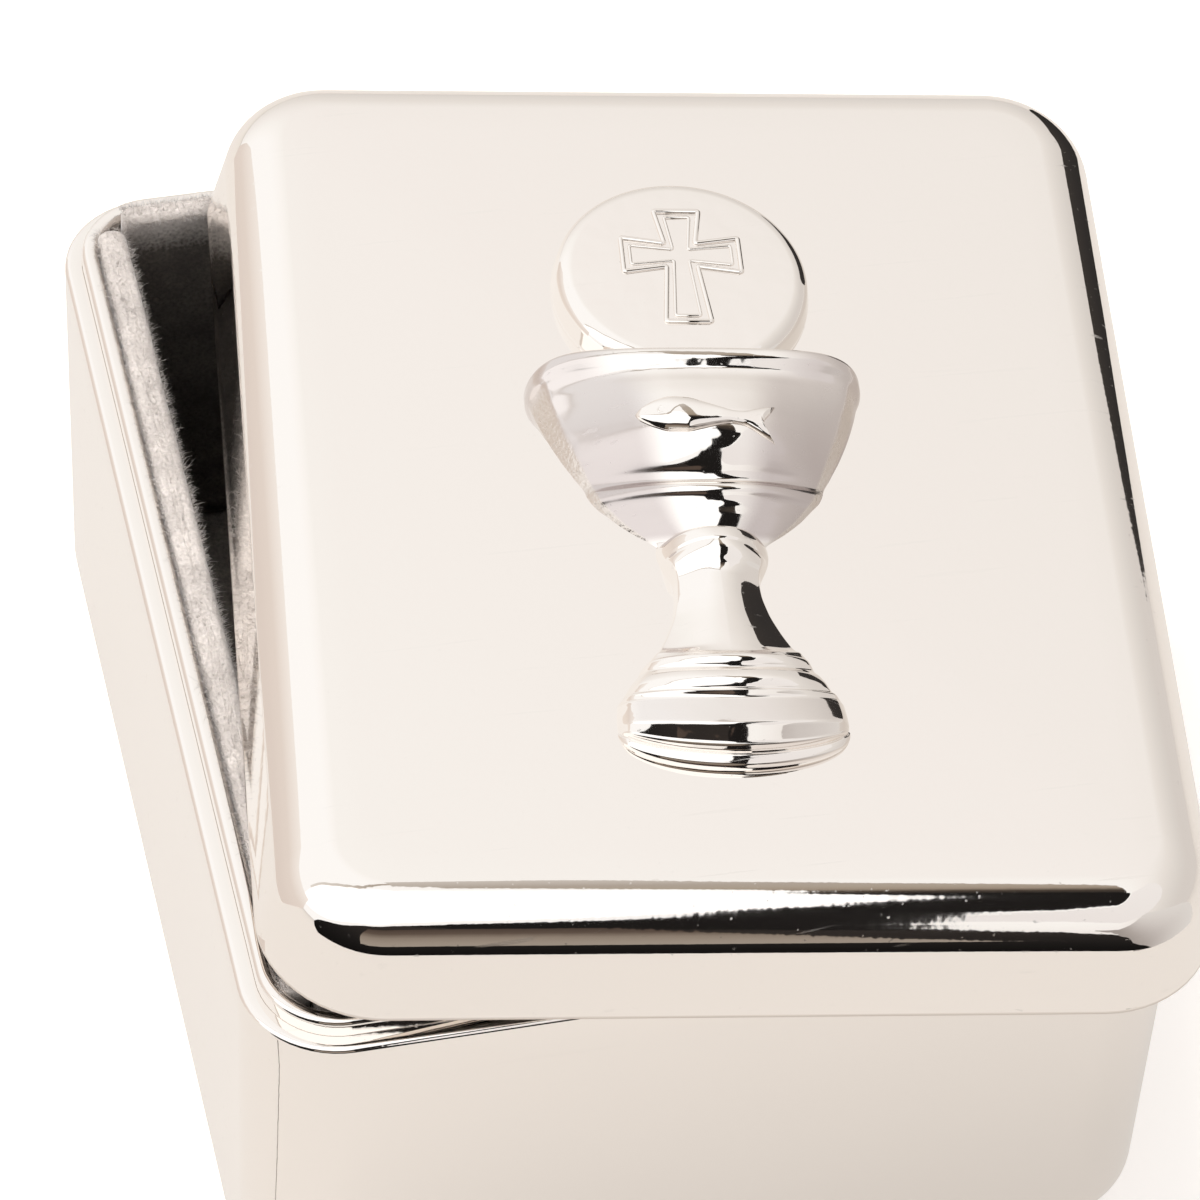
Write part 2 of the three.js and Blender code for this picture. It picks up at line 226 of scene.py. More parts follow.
def write_mesh(name, points, quads, triangles=None):
    """One smooth mesh object from points in millimetres, its faces turned outwards as a whole."""
    points = np.asarray(points, float).reshape(-1, 3)
    quads = np.asarray(quads, int).reshape(-1, 4)
    triangles = np.asarray([] if triangles is None else triangles, int).reshape(-1, 3)
    split = np.concatenate([quads[:, [0, 1, 2]], quads[:, [0, 2, 3]], triangles])
    a, b, c = (points[split[:, i]] for i in range(3))
    if np.einsum("ij,ij->", a, np.cross(b, c)) < 0:
        quads, triangles = quads[:, ::-1], triangles[:, ::-1]
    mesh = bpy.data.meshes.new(name)
    mesh.vertices.add(len(points))
    mesh.vertices.foreach_set("co", (points * MM).astype(np.float32).ravel())
    loops = np.concatenate([quads.ravel(), triangles.ravel()]).astype(np.int32)
    sizes = np.concatenate([np.full(len(quads), 4), np.full(len(triangles), 3)]).astype(np.int32)
    mesh.loops.add(len(loops))
    mesh.loops.foreach_set("vertex_index", loops)
    mesh.polygons.add(len(sizes))
    starts = np.concatenate([[0], np.cumsum(sizes)[:-1]]).astype(np.int32)
    mesh.polygons.foreach_set("loop_start", starts)
    mesh.polygons.foreach_set("use_smooth", np.ones(len(sizes), bool))
    mesh.update(calc_edges=True)
    mesh.validate()
    piece = bpy.data.objects.new(name, mesh)
    bpy.context.scene.collection.objects.link(piece)
    return piece


def skin(name, rings, place=None, wrap_rows=False):
    """A closed skin over rings of points. Unless the rows wrap, the first and last rings are
    gathered into one point each at their middle."""
    rows, columns, _ = rings.shape
    if wrap_rows:
        points, quads, fans = rings.reshape(-1, 3), grid_faces(rows, columns, True, True), None
    else:
        quads = grid_faces(rows, columns, False, True)
        ends = rings[[0, -1]].mean(axis=1)
        points = np.concatenate([rings.reshape(-1, 3), ends])
        here, there = np.arange(columns), (np.arange(columns) + 1) % columns
        first, last = rows * columns, rows * columns + 1
        top = (rows - 1) * columns
        fans = np.concatenate(
            [
                np.stack([np.full(columns, first), there, here], axis=1),
                np.stack([np.full(columns, last), top + here, top + there], axis=1),
            ]
        )
    if place is not None:
        points = lay(points, place)
    return write_mesh(name, points, quads, fans)


def store(piece, name, values):
    """Keeps one value for each vertex on a piece for its material to read. Vertices past the
    end of the values, such as the ones that close a skin, get 0."""
    full = np.zeros(len(piece.data.vertices), np.float32)
    full[: values.size] = values.ravel()
    piece.data.attributes.new(name, "FLOAT", "POINT").data.foreach_set("value", full)


def lay(points, place):
    """Points in millimetres moved by a 4 x 4 matrix that is in millimetres too."""
    m = np.array(place)
    return points @ m[:3, :3].T + m[:3, 3]


def lid_place():
    """Where the lid lies: tilted along and across, turned, shifted, and set to the height of
    the CAD lid by its highest corner."""
    rotation = (
        Matrix.Rotation(math.radians(LID_TURN), 4, "Z")
        @ Matrix.Rotation(math.radians(LID_TILT_ACROSS), 4, "X")
        @ Matrix.Rotation(math.radians(LID_TILT_ALONG), 4, "Y")
    )
    flat = (v - LID_FLAT_INSET for v in (LID_HALF_WIDTH, LID_HALF_LENGTH, LID_CORNER))
    x, y = round_rectangle(*flat, 6, 1)
    top = lay(np.stack([x[0], y[0], np.full(x.shape[1], LID_HEIGHT)], axis=1), rotation)
    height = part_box("lid_shell")[1].z / MM - top[:, 2].max()
    return Matrix.Translation((*LID_SHIFT, height)) @ rotation


LID_PLACE = lid_place()


def tray_inset(z):
    """How far the tray's tapered wall stands in from its top outline at a height."""
    return TRAY_TAPER * (1 - z / TRAY_HEIGHT)


def make_tray():
    """The tray's section, from the middle of the base out round the foot, up the wall, over the
    rim, down inside and back to the middle of the floor, carried round the outline."""
    foot = arc((TRAY_FOOT, TRAY_FOOT), TRAY_FOOT, 270, 180, 14)
    foot[:, 0] += tray_inset(foot[:, 1])
    wall_z = np.linspace(TRAY_FOOT, TRAY_HEIGHT - TRAY_RIM_ROUND, 12)[1:-1]
    wall = np.stack([tray_inset(wall_z), wall_z], axis=1)
    r = TRAY_RIM_ROUND
    rim = arc((r, TRAY_HEIGHT - r), r, 180, 90, 8)
    crisp = TRAY_RIM_INNER_ROUND
    rim_inside = arc((TRAY_WALL - crisp, TRAY_HEIGHT - crisp), crisp, 90, 0, 8)
    inside_z = np.linspace(TRAY_HEIGHT - crisp, TRAY_FOOT, 12)[1:-1]
    inside = np.stack([TRAY_WALL + tray_inset(inside_z), inside_z], axis=1)
    inner_foot = arc((TRAY_FOOT, TRAY_FOOT), TRAY_FOOT - TRAY_WALL, 180, 270, 10)
    inner_foot[:, 0] += tray_inset(inner_foot[:, 1])
    profile = np.concatenate([foot, wall, rim, rim_inside, inside, inner_foot])
    rings = inset_rings(TRAY_HALF_WIDTH, TRAY_HALF_LENGTH, TRAY_CORNER, profile)
    base = closing_rings(rings[0], 0)[::-1]
    floor = closing_rings(rings[-1], 0)
    return skin("tray", np.concatenate([base, rings, floor]))


def make_collar():
    """The collar's closed section, two straight faces joined by a round top edge, carried round.
    It leans with the tray's taper."""
    r = COLLAR_ROUND
    outer_z = np.linspace(COLLAR_BOTTOM, COLLAR_TOP - r, 8)[:-1]
    lean = tray_inset(COLLAR_BOTTOM) / (COLLAR_TOP - COLLAR_BOTTOM)
    outer = np.stack([COLLAR_INSET + lean * (COLLAR_TOP - outer_z), outer_z], axis=1)
    inner = outer[::-1] + [COLLAR_WALL, 0]
    top = arc((COLLAR_INSET + r, COLLAR_TOP - r), r, 180, 90, 8)
    top_inside = arc((COLLAR_INSET + COLLAR_WALL - r, COLLAR_TOP - r), r, 90, 0, 8)
    profile = np.concatenate([outer, top, top_inside, inner])
    rings = inset_rings(TRAY_HALF_WIDTH, TRAY_HALF_LENGTH, TRAY_CORNER, profile)
    return skin("collar", rings, wrap_rows=True)


def make_lid():
    """The lid's section: from the middle of the ceiling down inside, round the rolled lower edge,
    up the flared skirt to a fine crease, over the round shoulder and in to the crowned middle.
    Stored with it: where the skirt's lower edge turns under, which its material paints greyer as
    painted shade."""
    lean = math.radians(LID_SHOULDER_LEAN)
    centre = (LID_FLARE + LID_SHOULDER * math.cos(lean), LID_HEIGHT - LID_SHOULDER)
    ceiling = arc(centre, LID_SHOULDER - LID_WALL, 90, 180 - LID_SHOULDER_LEAN, 12)
    crisp, soft = LID_EDGE_OUTER_ROUND, LID_EDGE_INNER_ROUND
    under_edge = arc((LID_WALL - soft, soft), soft, 0, -90, 10)
    outer_edge = arc((crisp, crisp), crisp, -90, -180, 8)
    skirt_z = np.array([0.3, 1.2, 2.0, 3.0, 3.8, 4.2, 4.34, 4.38])
    skirt = np.stack([LID_FLARE * skirt_z / LID_SKIRT, skirt_z], axis=1)
    inside = skirt[:-2][::-1] + [LID_WALL, 0]
    shoulder = arc(centre, LID_SHOULDER, 180 - LID_SHOULDER_LEAN, 92, 36)
    profile = np.concatenate([ceiling, inside, under_edge, outer_edge, skirt, shoulder])
    rings = inset_rings(LID_HALF_WIDTH, LID_HALF_LENGTH, LID_CORNER, profile)
    under = closing_rings(rings[0], LID_CROWN)[::-1]
    top = closing_rings(rings[-1], LID_CROWN)
    rows = np.concatenate([under, rings, top])
    cap = skin("lid_cap", rows, LID_PLACE)
    skirt_row = len(under) + len(ceiling) + len(inside) + len(under_edge) + len(outer_edge)
    # The rolled lower edge, marked for the painted shade that its material puts there
    shaded_hem = np.zeros(rows.shape[:2])
    shaded_hem[skirt_row - 6 : skirt_row] = 1
    store(cap, "shaded_hem", shaded_hem)
    return cap


tray = make_tray()
collar = make_collar()
lid = make_lid()
for piece, body, node in (
    (tray, "box", "box_shell"),
    (collar, "box", "rim_collar"),
    (lid, "lid", "lid_shell"),
):
    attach(piece, body)
    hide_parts(node)

# Felt


def waves(x, y, seed, sizes):
    """A smooth random relief: a few sine waves for each size, at random headings and phases."""
    random = np.random.default_rng(seed)
    relief = np.zeros(np.broadcast(x, y).shape)
    for length, height in sizes:
        for _ in range(5):
            turn, phase = random.uniform(0, 2 * math.pi, 2)
            along = x * math.cos(turn) + y * math.sin(turn)
            relief += height / 5 * np.sin(2 * math.pi * along / length + phase)
    return relief


def felt_slab(name, half_width, half_length, low, high, corner, place=None):
    """A slab of felt standing on z = low: rounded top edge, its faces lightly uneven, the more
    the nearer they are to the top."""
    r = FELT_TOP_ROUND
    wall_z = np.linspace(low, high - r, 30)
    wall = np.stack([np.zeros_like(wall_z), wall_z], axis=1)
    inset, height = np.concatenate([wall, arc((r, high - r), r, 180, 90, 6)[1:]]).T
    corners = np.maximum(corner - inset, 0.1)
    x, y = round_rectangle(half_width - inset, half_length - inset, corners, 5, 60)
    rings = np.stack([x, y, np.broadcast_to(height[:, None], x.shape)], axis=2)
    loose = np.clip((rings[:, :, 2] - low) / (high - low), 0, 1)
    shift = waves(rings[:, :, 0] + rings[:, :, 1], rings[:, :, 2], 3, FELT_WAVES)
    rings[:, :, 0] += shift * 0.3 * loose
    rings[:, :, 2] += waves(rings[:, :, 0], rings[:, :, 1], 5, FELT_WAVES) * 0.5 * loose
    under = closing_rings(rings[0], 0, 3)[::-1]
    top = closing_rings(rings[-1], 0, 3)
    return skin(name, np.concatenate([under, rings, top]), place)


def fibres(name, roots, headings, lengths, seed):
    """Loose fibres: each a thin three-sided tube that leaves its root along its heading, bends
    aside with the square of the distance and narrows to its tip."""
    random = np.random.default_rng(seed)
    count = len(roots)
    t = np.linspace(0, 1, 4)
    side = np.cross(headings, random.normal(size=(count, 3)))
    side /= np.linalg.norm(side, axis=1, keepdims=True)
    across = np.cross(headings, side)
    bend = random.normal(0, 0.35, (count, 1, 1)) * lengths[:, None, None]
    spine = (
        roots[:, None, :]
        + headings[:, None, :] * (lengths[:, None] * t[None, :])[:, :, None]
        + side[:, None, :] * bend * (t**2)[None, :, None]
    )
    angle = full_turn(3)
    width = FIBRE_RADIUS * (1 - 0.75 * t)
    around = (
        side[:, None, None, :] * np.cos(angle)[None, None, :, None]
        + across[:, None, None, :] * np.sin(angle)[None, None, :, None]
    )
    points = spine[:, :, None, :] + around * width[None, :, None, None]
    start = (np.arange(count) * 12)[:, None, None]
    quads = grid_faces(4, 3, False, True)
    caps = np.array([[2, 1, 0], [9, 10, 11]])
    return write_mesh(name, points, quads[None] + start, caps[None] + start)


def fuzz_on_top(name, middle, half, z, seed):
    """Fibres that stand up from the top of a felt panel, most of them along its two long edges,
    where they lean out: the edge distance follows 1 - u squared."""
    random = np.random.default_rng(seed)
    count = int(max(half) * 2 * FIBRES_PER_MM)
    thin = int(half[0] > half[1])
    spread = random.uniform(-1, 1, (count, 2))
    offset = np.sign(spread[:, thin]) * (1 - spread[:, thin] ** 2)
    spread[:, thin] = offset
    x, y = (np.array(middle) + np.array(half) * spread).T
    roots = np.stack([x, y, z - FIBRE_ROOT - FIBRE_EDGE_DROP * np.abs(offset) ** 3], axis=1)
    lean = np.zeros((count, 3))
    lean[:, thin] = offset * 1.1
    headings = lean + random.normal(0, 0.42, (count, 3)) + [0, 0, 0.75]
    headings /= np.linalg.norm(headings, axis=1, keepdims=True)
    lengths = random.gamma(3.0, 0.075, count) + FIBRE_LEAST_LENGTH
    return fibres(name, roots, headings, lengths, seed)


felt_pieces = []


def add_felt(piece, body, node=None):
    """Puts a felt piece on its body, in place of its CAD node where it stands for one."""
    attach(piece, body)
    if node:
        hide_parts(node)
    felt_pieces.append(piece)


FELT_HALF = FELT_THICKNESS / 2
FELT_SIDE_X = TRAY_HALF_WIDTH - FELT_INSET - FELT_HALF
FELT_END_Y = TRAY_HALF_LENGTH - FELT_INSET - FELT_HALF
FELT_END_HALF_WIDTH = TRAY_HALF_WIDTH - FELT_INSET - FELT_THICKNESS - FELT_GAP

# The wall panels: side of the box, middle, half sizes, how far each stands over the collar, and
# seed. The left one sits out against the collar, and the left and back ones stand proud.
PANELS = (
    ("left", (-FELT_SIDE_X - 0.14, 0), (FELT_HALF + 0.12, FELT_SIDE_HALF_LENGTH + 0.5), 0.35, 11),
    ("right", (FELT_SIDE_X, 0), (FELT_HALF, FELT_SIDE_HALF_LENGTH), 0.1, 12),
    ("front", (0, -FELT_END_Y), (FELT_END_HALF_WIDTH + 0.4, FELT_HALF), 0.0, 13),
    ("back", (0, FELT_END_Y), (FELT_END_HALF_WIDTH + 0.45, FELT_HALF), 0.95, 14),
)

for side, middle, half, proud, seed in PANELS:
    foot, top = FELT_FLOOR_TOP + FELT_GAP, COLLAR_TOP + proud
    place = Matrix.Translation((*middle, 0))
    panel = felt_slab("felt_" + side, *half, foot, top, FELT_PANEL_CORNER, place)
    add_felt(panel, "box", "lining_" + side)
    add_felt(fuzz_on_top(f"felt_{side}_fuzz", middle, half, top, seed), "box")

floor_felt = felt_slab(
    "felt_floor",
    TRAY_HALF_WIDTH - FELT_INSET,
    TRAY_HALF_LENGTH - FELT_INSET,
    FELT_FLOOR_BOTTOM,
    FELT_FLOOR_TOP,
    TRAY_CORNER - FELT_INSET,
)
add_felt(floor_felt, "box", "lining_floor")


def make_lid_felt():
    """The felt inside the lid, a thin slab under the ceiling with its round edge downwards."""
    ceiling = Matrix.Translation((0, 0, LID_HEIGHT - LID_WALL - FELT_GAP))
    turn_over = Matrix.Rotation(math.pi, 4, "X")
    margin = LID_FLAT_INSET + FELT_LID_MARGIN
    return felt_slab(
        "felt_lid",
        LID_HALF_WIDTH - margin,
        LID_HALF_LENGTH - margin,
        0,
        FELT_LID_THICKNESS,
        LID_CORNER - LID_FLAT_INSET,
        LID_PLACE @ ceiling @ turn_over,
    )


add_felt(make_lid_felt(), "lid", "lid_lining")

# Chalice

# Places on the lid, seen from above: the lip's middle, and the ornament's shift to the left
CUP_LIP_Y = 6.4
CUP_SHIFT_X = -0.25

# How sharp the section's edges are, and how steeply a side facet falls in shares of the crest
CUP_EDGE_SHARPNESS = 10.0
CUP_FACET_DROP = 0.85

# Where the lip, the bowl and the foot's flat top begin and end, as distances from the lip's edge
CUP_LIP = (0.15, 0.5)
CUP_BOWL = (1.2, 2.2, 10.8, 11.6)
CUP_FOOT_TOP = (22.8, 22.95, 24.05, 24.2)

# The casting by stations: distance from the lip, half width, crest height, how far the crest
# bows towards the foot, where the steep side begins as a share of the half width, how much the
# front is rounded as a share of the height, where a sloping side facet begins as a share of the
# half width, and how round the ends of the section are. Millimetres and shares, as given.
CUP_STATIONS = np.array(
    [
        (0.00, 8.80, 2.30, 0.00, 0.93, 0.10, 1.0, 1.0),
        (0.06, 9.02, 3.20, 0.00, 0.93, 0.14, 1.0, 1.0),
        (0.22, 9.28, 3.72, 0.00, 0.93, 0.18, 1.0, 1.0),
        (0.55, 9.46, 3.95, 0.02, 0.93, 0.20, 1.0, 1.0),
        (0.90, 9.46, 3.88, 0.05, 0.93, 0.22, 1.0, 1.0),
        (1.20, 9.38, 3.64, 0.07, 0.93, 0.26, 1.0, 0.9),
        (1.42, 9.28, 3.48, 0.08, 0.92, 0.32, 1.0, 0.6),
        (1.70, 9.18, 3.46, 0.10, 0.92, 0.42, 1.0, 0.3),
        (2.40, 9.00, 3.56, 0.14, 0.92, 0.58, 1.0, 0.1),
        (3.20, 8.76, 3.62, 0.20, 0.91, 0.72, 1.0, 0.0),
        (4.20, 8.40, 3.62, 0.30, 0.91, 0.82, 1.0, 0.0),
        (5.00, 8.07, 3.46, 0.38, 0.90, 0.87, 1.0, 0.0),
        (5.60, 7.80, 3.22, 0.46, 0.90, 0.90, 1.0, 0.0),
        (6.15, 7.52, 2.86, 0.54, 0.90, 0.92, 1.0, 0.0),
        (6.50, 7.34, 2.50, 0.60, 0.90, 0.92, 1.0, 0.0),
        (6.80, 7.20, 2.14, 0.64, 0.90, 0.93, 1.0, 0.0),
        (7.10, 7.04, 1.76, 0.67, 0.90, 0.93, 1.0, 0.0),
        (7.40, 6.88, 1.60, 0.70, 0.90, 0.92, 1.0, 0.0),
        (7.60, 6.79, 1.72, 0.71, 0.90, 0.90, 1.0, 0.0),
        (7.85, 6.70, 2.00, 0.73, 0.91, 0.88, 1.0, 0.0),
        (8.12, 6.59, 2.14, 0.74, 0.91, 0.87, 1.0, 0.0),
        (8.40, 6.45, 2.06, 0.74, 0.91, 0.87, 1.0, 0.0),
        (8.66, 6.26, 1.78, 0.73, 0.90, 0.90, 1.0, 0.0),
        (8.90, 6.05, 1.60, 0.71, 0.90, 0.92, 1.0, 0.0),
        (9.80, 5.30, 1.28, 0.58, 0.90, 0.92, 1.0, 0.0),
        (10.7, 4.35, 0.92, 0.38, 0.90, 0.90, 1.0, 0.0),
        (11.4, 3.50, 0.56, 0.18, 0.90, 0.84, 1.0, 0.0),
        (11.72, 3.16, 0.66, 0.05, 0.91, 0.80, 1.0, 0.3),
        (11.86, 3.10, 1.60, 0.00, 0.92, 0.80, 1.0, 0.6),
        (12.05, 3.12, 2.38, 0.00, 0.92, 0.80, 1.0, 0.8),
        (12.4, 3.12, 2.66, 0.00, 0.92, 0.80, 1.0, 0.8),
        (12.9, 3.05, 2.70, 0.02, 0.92, 0.80, 1.0, 0.8),
        (13.4, 2.88, 2.58, 0.04, 0.92, 0.60, 0.9, 0.5),
        (13.9, 2.66, 2.34, 0.07, 0.92, 0.40, 0.6, 0.2),
        (14.3, 2.50, 2.10, 0.10, 0.92, 0.24, 0.42, 0.0),
        (14.8, 2.42, 1.98, 0.14, 0.93, 0.16, 0.34, 0.0),
        (15.6, 2.45, 2.00, 0.26, 0.94, 0.12, 0.31, 0.0),
        (16.8, 2.68, 2.08, 0.46, 0.95, 0.10, 0.30, 0.0),
        (18.0, 3.12, 2.20, 0.72, 0.95, 0.10, 0.31, 0.0),
        (19.2, 3.72, 2.30, 0.98, 0.95, 0.12, 0.33, 0.0),
        (19.75, 4.05, 2.34, 1.06, 0.94, 0.20, 0.5, 0.2),
        (19.95, 4.35, 2.58, 1.10, 0.92, 0.42, 0.9, 0.5),
        (20.30, 4.66, 2.76, 1.14, 0.92, 0.50, 1.0, 0.6),
        (20.65, 4.82, 2.62, 1.16, 0.92, 0.50, 1.0, 0.6),
        (20.82, 4.90, 2.42, 1.18, 0.92, 0.50, 1.0, 0.6),
        (21.00, 5.04, 2.52, 1.20, 0.92, 0.52, 1.0, 0.6),
        (21.30, 5.26, 2.78, 1.22, 0.92, 0.54, 1.0, 0.6),
        (21.70, 5.50, 2.84, 1.25, 0.92, 0.54, 1.0, 0.6),
        (22.10, 5.72, 2.66, 1.27, 0.92, 0.54, 1.0, 0.6),
        (22.28, 5.84, 2.48, 1.28, 0.92, 0.54, 1.0, 0.6),
        (22.42, 5.93, 2.68, 1.29, 0.93, 0.54, 1.0, 0.5),
        (22.55, 6.02, 2.74, 1.29, 0.93, 0.54, 1.0, 0.6),
        (22.59, 6.05, 2.70, 1.29, 0.93, 0.54, 1.0, 0.7),
        (22.77, 6.14, 2.49, 1.30, 0.92, 0.52, 1.0, 0.8),
        (22.84, 6.17, 2.46, 1.31, 0.92, 0.50, 1.0, 0.8),
        (23.10, 6.21, 2.445, 1.36, 0.92, 0.48, 1.0, 0.8),
        (23.70, 6.28, 2.42, 1.48, 0.92, 0.44, 1.0, 0.8),
        (24.14, 6.30, 2.39, 1.62, 0.92, 0.42, 1.0, 0.8),
        (24.22, 6.30, 2.31, 1.66, 0.92, 0.42, 1.0, 0.8),
        (24.23, 6.30, 2.242, 1.71, 0.92, 0.42, 1.0, 0.8),
        (24.32, 6.29, 1.63, 2.16, 0.92, 0.42, 1.0, 0.7),
        (24.33, 6.29, 1.562, 2.21, 0.92, 0.42, 1.0, 0.7),
        (24.36, 6.29, 1.535, 2.24, 0.92, 0.42, 1.0, 0.6),
        (24.38, 6.28, 1.20, 2.245, 0.92, 0.42, 1.0, 0.6),
        (24.40, 6.28, 0.95, 2.25, 0.93, 0.42, 1.0, 0.5),
        (24.43, 6.28, 0.84, 2.26, 0.93, 0.42, 1.0, 0.5),
        (24.48, 6.30, 0.90, 2.265, 0.93, 0.40, 1.0, 0.5),
        (24.56, 6.32, 0.91, 2.265, 0.93, 0.36, 1.0, 0.6),
        (24.70, 6.32, 0.82, 2.27, 0.93, 0.32, 1.0, 0.6),
        (24.86, 6.30, 0.68, 2.28, 0.93, 0.30, 1.0, 0.6),
        (24.94, 6.27, 0.58, 2.29, 0.93, 0.30, 1.0, 0.6),
        (24.98, 6.25, 0.34, 2.30, 0.93, 0.30, 1.0, 0.6),
        (24.99, 6.23, 0.10, 2.30, 0.93, 0.30, 1.0, 0.6),
    ]
)


def smooth_track(at, keys, values):
    """A curve through keyed values that never overshoots them: cubic pieces whose slopes are
    the harmonic mean of the slopes on both sides, and zero where the curve turns back."""
    gap = np.diff(keys)
    slope = np.diff(values) / gap
    product = slope[:-1] * slope[1:]
    total = slope[:-1] + slope[1:]
    inner = np.where(product > 0, 2 * product / np.where(total == 0, 1, total), 0)
    tangent = np.concatenate([slope[:1], inner, slope[-1:]])
    i = np.clip(np.searchsorted(keys, at, side="right") - 1, 0, len(keys) - 2)
    t = (at - keys[i]) / gap[i]
    h00, h10 = 2 * t**3 - 3 * t**2 + 1, t**3 - 2 * t**2 + t
    h01, h11 = 3 * t**2 - 2 * t**3, t**3 - t**2
    bend = gap[i] * (h10 * tangent[i] + h11 * tangent[i + 1])
    return h00 * values[i] + h01 * values[i + 1] + bend


def cup_rise(share, crest, steep_from, rounding, facet_from, round_end):
    """Height of the casting's section at a share of its half width: the lowest of a rounded
    front, a sloping facet beside it and a steep side, blended at their edges. Towards a round
    end the sides give way to a smooth fall, like the square root of 1 - share to the ninth."""
    share = np.abs(share)

    def front(at):
        """The rounded front's height, falling with a power of the share."""
        return 1 - rounding * at**2.5

    def facet(at):
        """The side facet's height, falling straight from where it leaves the front."""
        return front(facet_from) - CUP_FACET_DROP * (at - facet_from)

    plain = facet_from > 0.99
    beside = np.where(plain, 2.0, np.maximum(facet(share), 1e-6))
    at_side = np.where(plain, front(steep_from), np.minimum(front(steep_from), facet(steep_from)))
    side = np.maximum((1 - share) * at_side / (1 - steep_from), 1e-6)
    power = -CUP_EDGE_SHARPNESS
    edged = (front(share) ** power + beside**power + side**power) ** (1 / power)
    smooth = front(share) * np.sqrt(np.clip(1 - share**9, 0, 1))
    return crest * (edged * (1 - round_end) + smooth * round_end)


def cup_tracks(distance):
    """All station values at distances from the lip."""
    keys = CUP_STATIONS[:, 0]
    return [smooth_track(distance, keys, CUP_STATIONS[:, i]) for i in range(1, 8)]


def cup_height(x, y):
    """Height of the casting's front above the lid at plan points, the bow taken into account."""
    distance = CUP_LIP_Y - y
    for _ in range(4):
        half, crest, bow, *shape = cup_tracks(distance)
        share = np.clip(np.abs(x) / half, 0, 0.999)
        distance = CUP_LIP_Y - y - bow * np.sqrt(1 - share**2)
    return cup_rise(share, crest, *shape)


def soft_step(value, low, high):
    """0 below low, 1 above high, and a smooth cubic rise between them."""
    t = np.clip((value - low) / (high - low), 0, 1)
    return t * t * (3 - 2 * t)


def soft_band(value, rise_from, rise_to, fall_from, fall_to):
    """1 within a band, with a smooth rise into it and a smooth fall out of it."""
    return soft_step(value, rise_from, rise_to) * (1 - soft_step(value, fall_from, fall_to))


def make_cup():
    """The casting: sections across it, one behind the other from the lip to the foot's edge, set
    closest at the lip's and the foot's small forms. A section's points stand aside by a share of
    the half width and are drawn towards the foot by the bow times the square root of 1 - share
    squared. Stored with it: how dull the plate is on the bowl's flanks, the lip's ends and the
    foot's top, and how coarse on the bowl's side faces."""
    lip = np.linspace(0, 0.3, 14)
    body = np.linspace(0.3, 22.2, 340)[1:]
    foot = np.linspace(22.2, CUP_STATIONS[-1, 0], 200)[1:]
    distance = np.concatenate([lip, body, foot])[:, None]
    half, crest, bow, *shape = cup_tracks(distance)
    share = np.sin(np.linspace(-math.pi / 2, math.pi / 2, 161))[None, :]
    x = half * share + CUP_SHIFT_X
    y = CUP_LIP_Y - distance - bow * np.sqrt(np.clip(1 - share**2, 0, 1))
    z = cup_rise(share, crest, *shape) + LID_HEIGHT
    cup = skin("chalice_cup", np.stack([x, y, z], axis=2), LID_PLACE)
    out = np.abs(share)
    on_bowl = soft_band(distance, *CUP_BOWL)
    on_lip = soft_step(distance, *CUP_LIP) * (1 - on_bowl) * (distance < CUP_BOWL[1])
    on_foot = soft_band(distance, *CUP_FOOT_TOP)
    dull = soft_step(out, 0.24, 0.52) * on_bowl * (0.65 + 0.35 * soft_step(distance, 2.0, 7.0))
    dull += 0.7 * soft_step(out, 0.4, 0.75) * on_lip
    dull += 0.3 * (1 - soft_step(out, 0.8, 0.95)) * on_foot
    store(cup, "dull", dull)
    store(cup, "coarse", soft_step(out - shape[0], -0.01, 0.02) * on_bowl * (share < 0.98))
    return cup


# The wafer's middle, its radius, the rounding of its edge, and its face's radius, height and dome
WAFER_Y = 13.5
WAFER_RADIUS = 7.35
WAFER_EDGE_ROUND = 0.95
WAFER_FACE_RADIUS = 6.25
WAFER_FACE = 1.9
WAFER_DOME = 0.06


def make_wafer():
    """The wafer: a low disc whose section rises steeply, turns over a round edge and runs in to
    the middle of a face that is very slightly domed, by 1 - the square of the share of its
    radius. The section is turned about the wafer's middle."""
    r = WAFER_EDGE_ROUND
    steep = np.array([(0, -0.1), (-0.02, 0.35), (-0.13, 0.85)]) + [WAFER_RADIUS, 0]
    edge = arc((WAFER_FACE_RADIUS, WAFER_FACE - r), r, 12, 90, 16)
    share = np.linspace(1, 0, 12)[1:]
    dome = WAFER_FACE + WAFER_DOME * (1 - share**2)
    face = np.stack([WAFER_FACE_RADIUS * share, dome], axis=1)
    profile = np.concatenate([[(0.01, -0.1)], steep, edge, face])
    angle = full_turn(144)
    rings = np.stack(
        [
            profile[:, :1] * np.cos(angle) + CUP_SHIFT_X,
            profile[:, :1] * np.sin(angle) + WAFER_Y,
            np.broadcast_to(profile[:, 1:] + LID_HEIGHT, (len(profile), len(angle))),
        ],
        axis=2,
    )
    return skin("chalice_wafer", rings, LID_PLACE)


def round_corners(corners, radius, steps=5):
    """A closed outline with its corners rounded: each corner is replaced by a quadratic curve
    between the points that lie a radius before and after it."""
    corners = np.asarray(corners, float)
    before = np.roll(corners, 1, axis=0) - corners
    after = np.roll(corners, -1, axis=0) - corners
    start = corners + before * (radius / np.linalg.norm(before, axis=1))[:, None]
    end = corners + after * (radius / np.linalg.norm(after, axis=1))[:, None]
    t = np.linspace(0, 1, steps)[None, :, None]
    curve = (1 - t) ** 2 * start[:, None] + 2 * t * (1 - t) * corners[:, None] + t**2 * end[:, None]
    return curve.reshape(-1, 2)


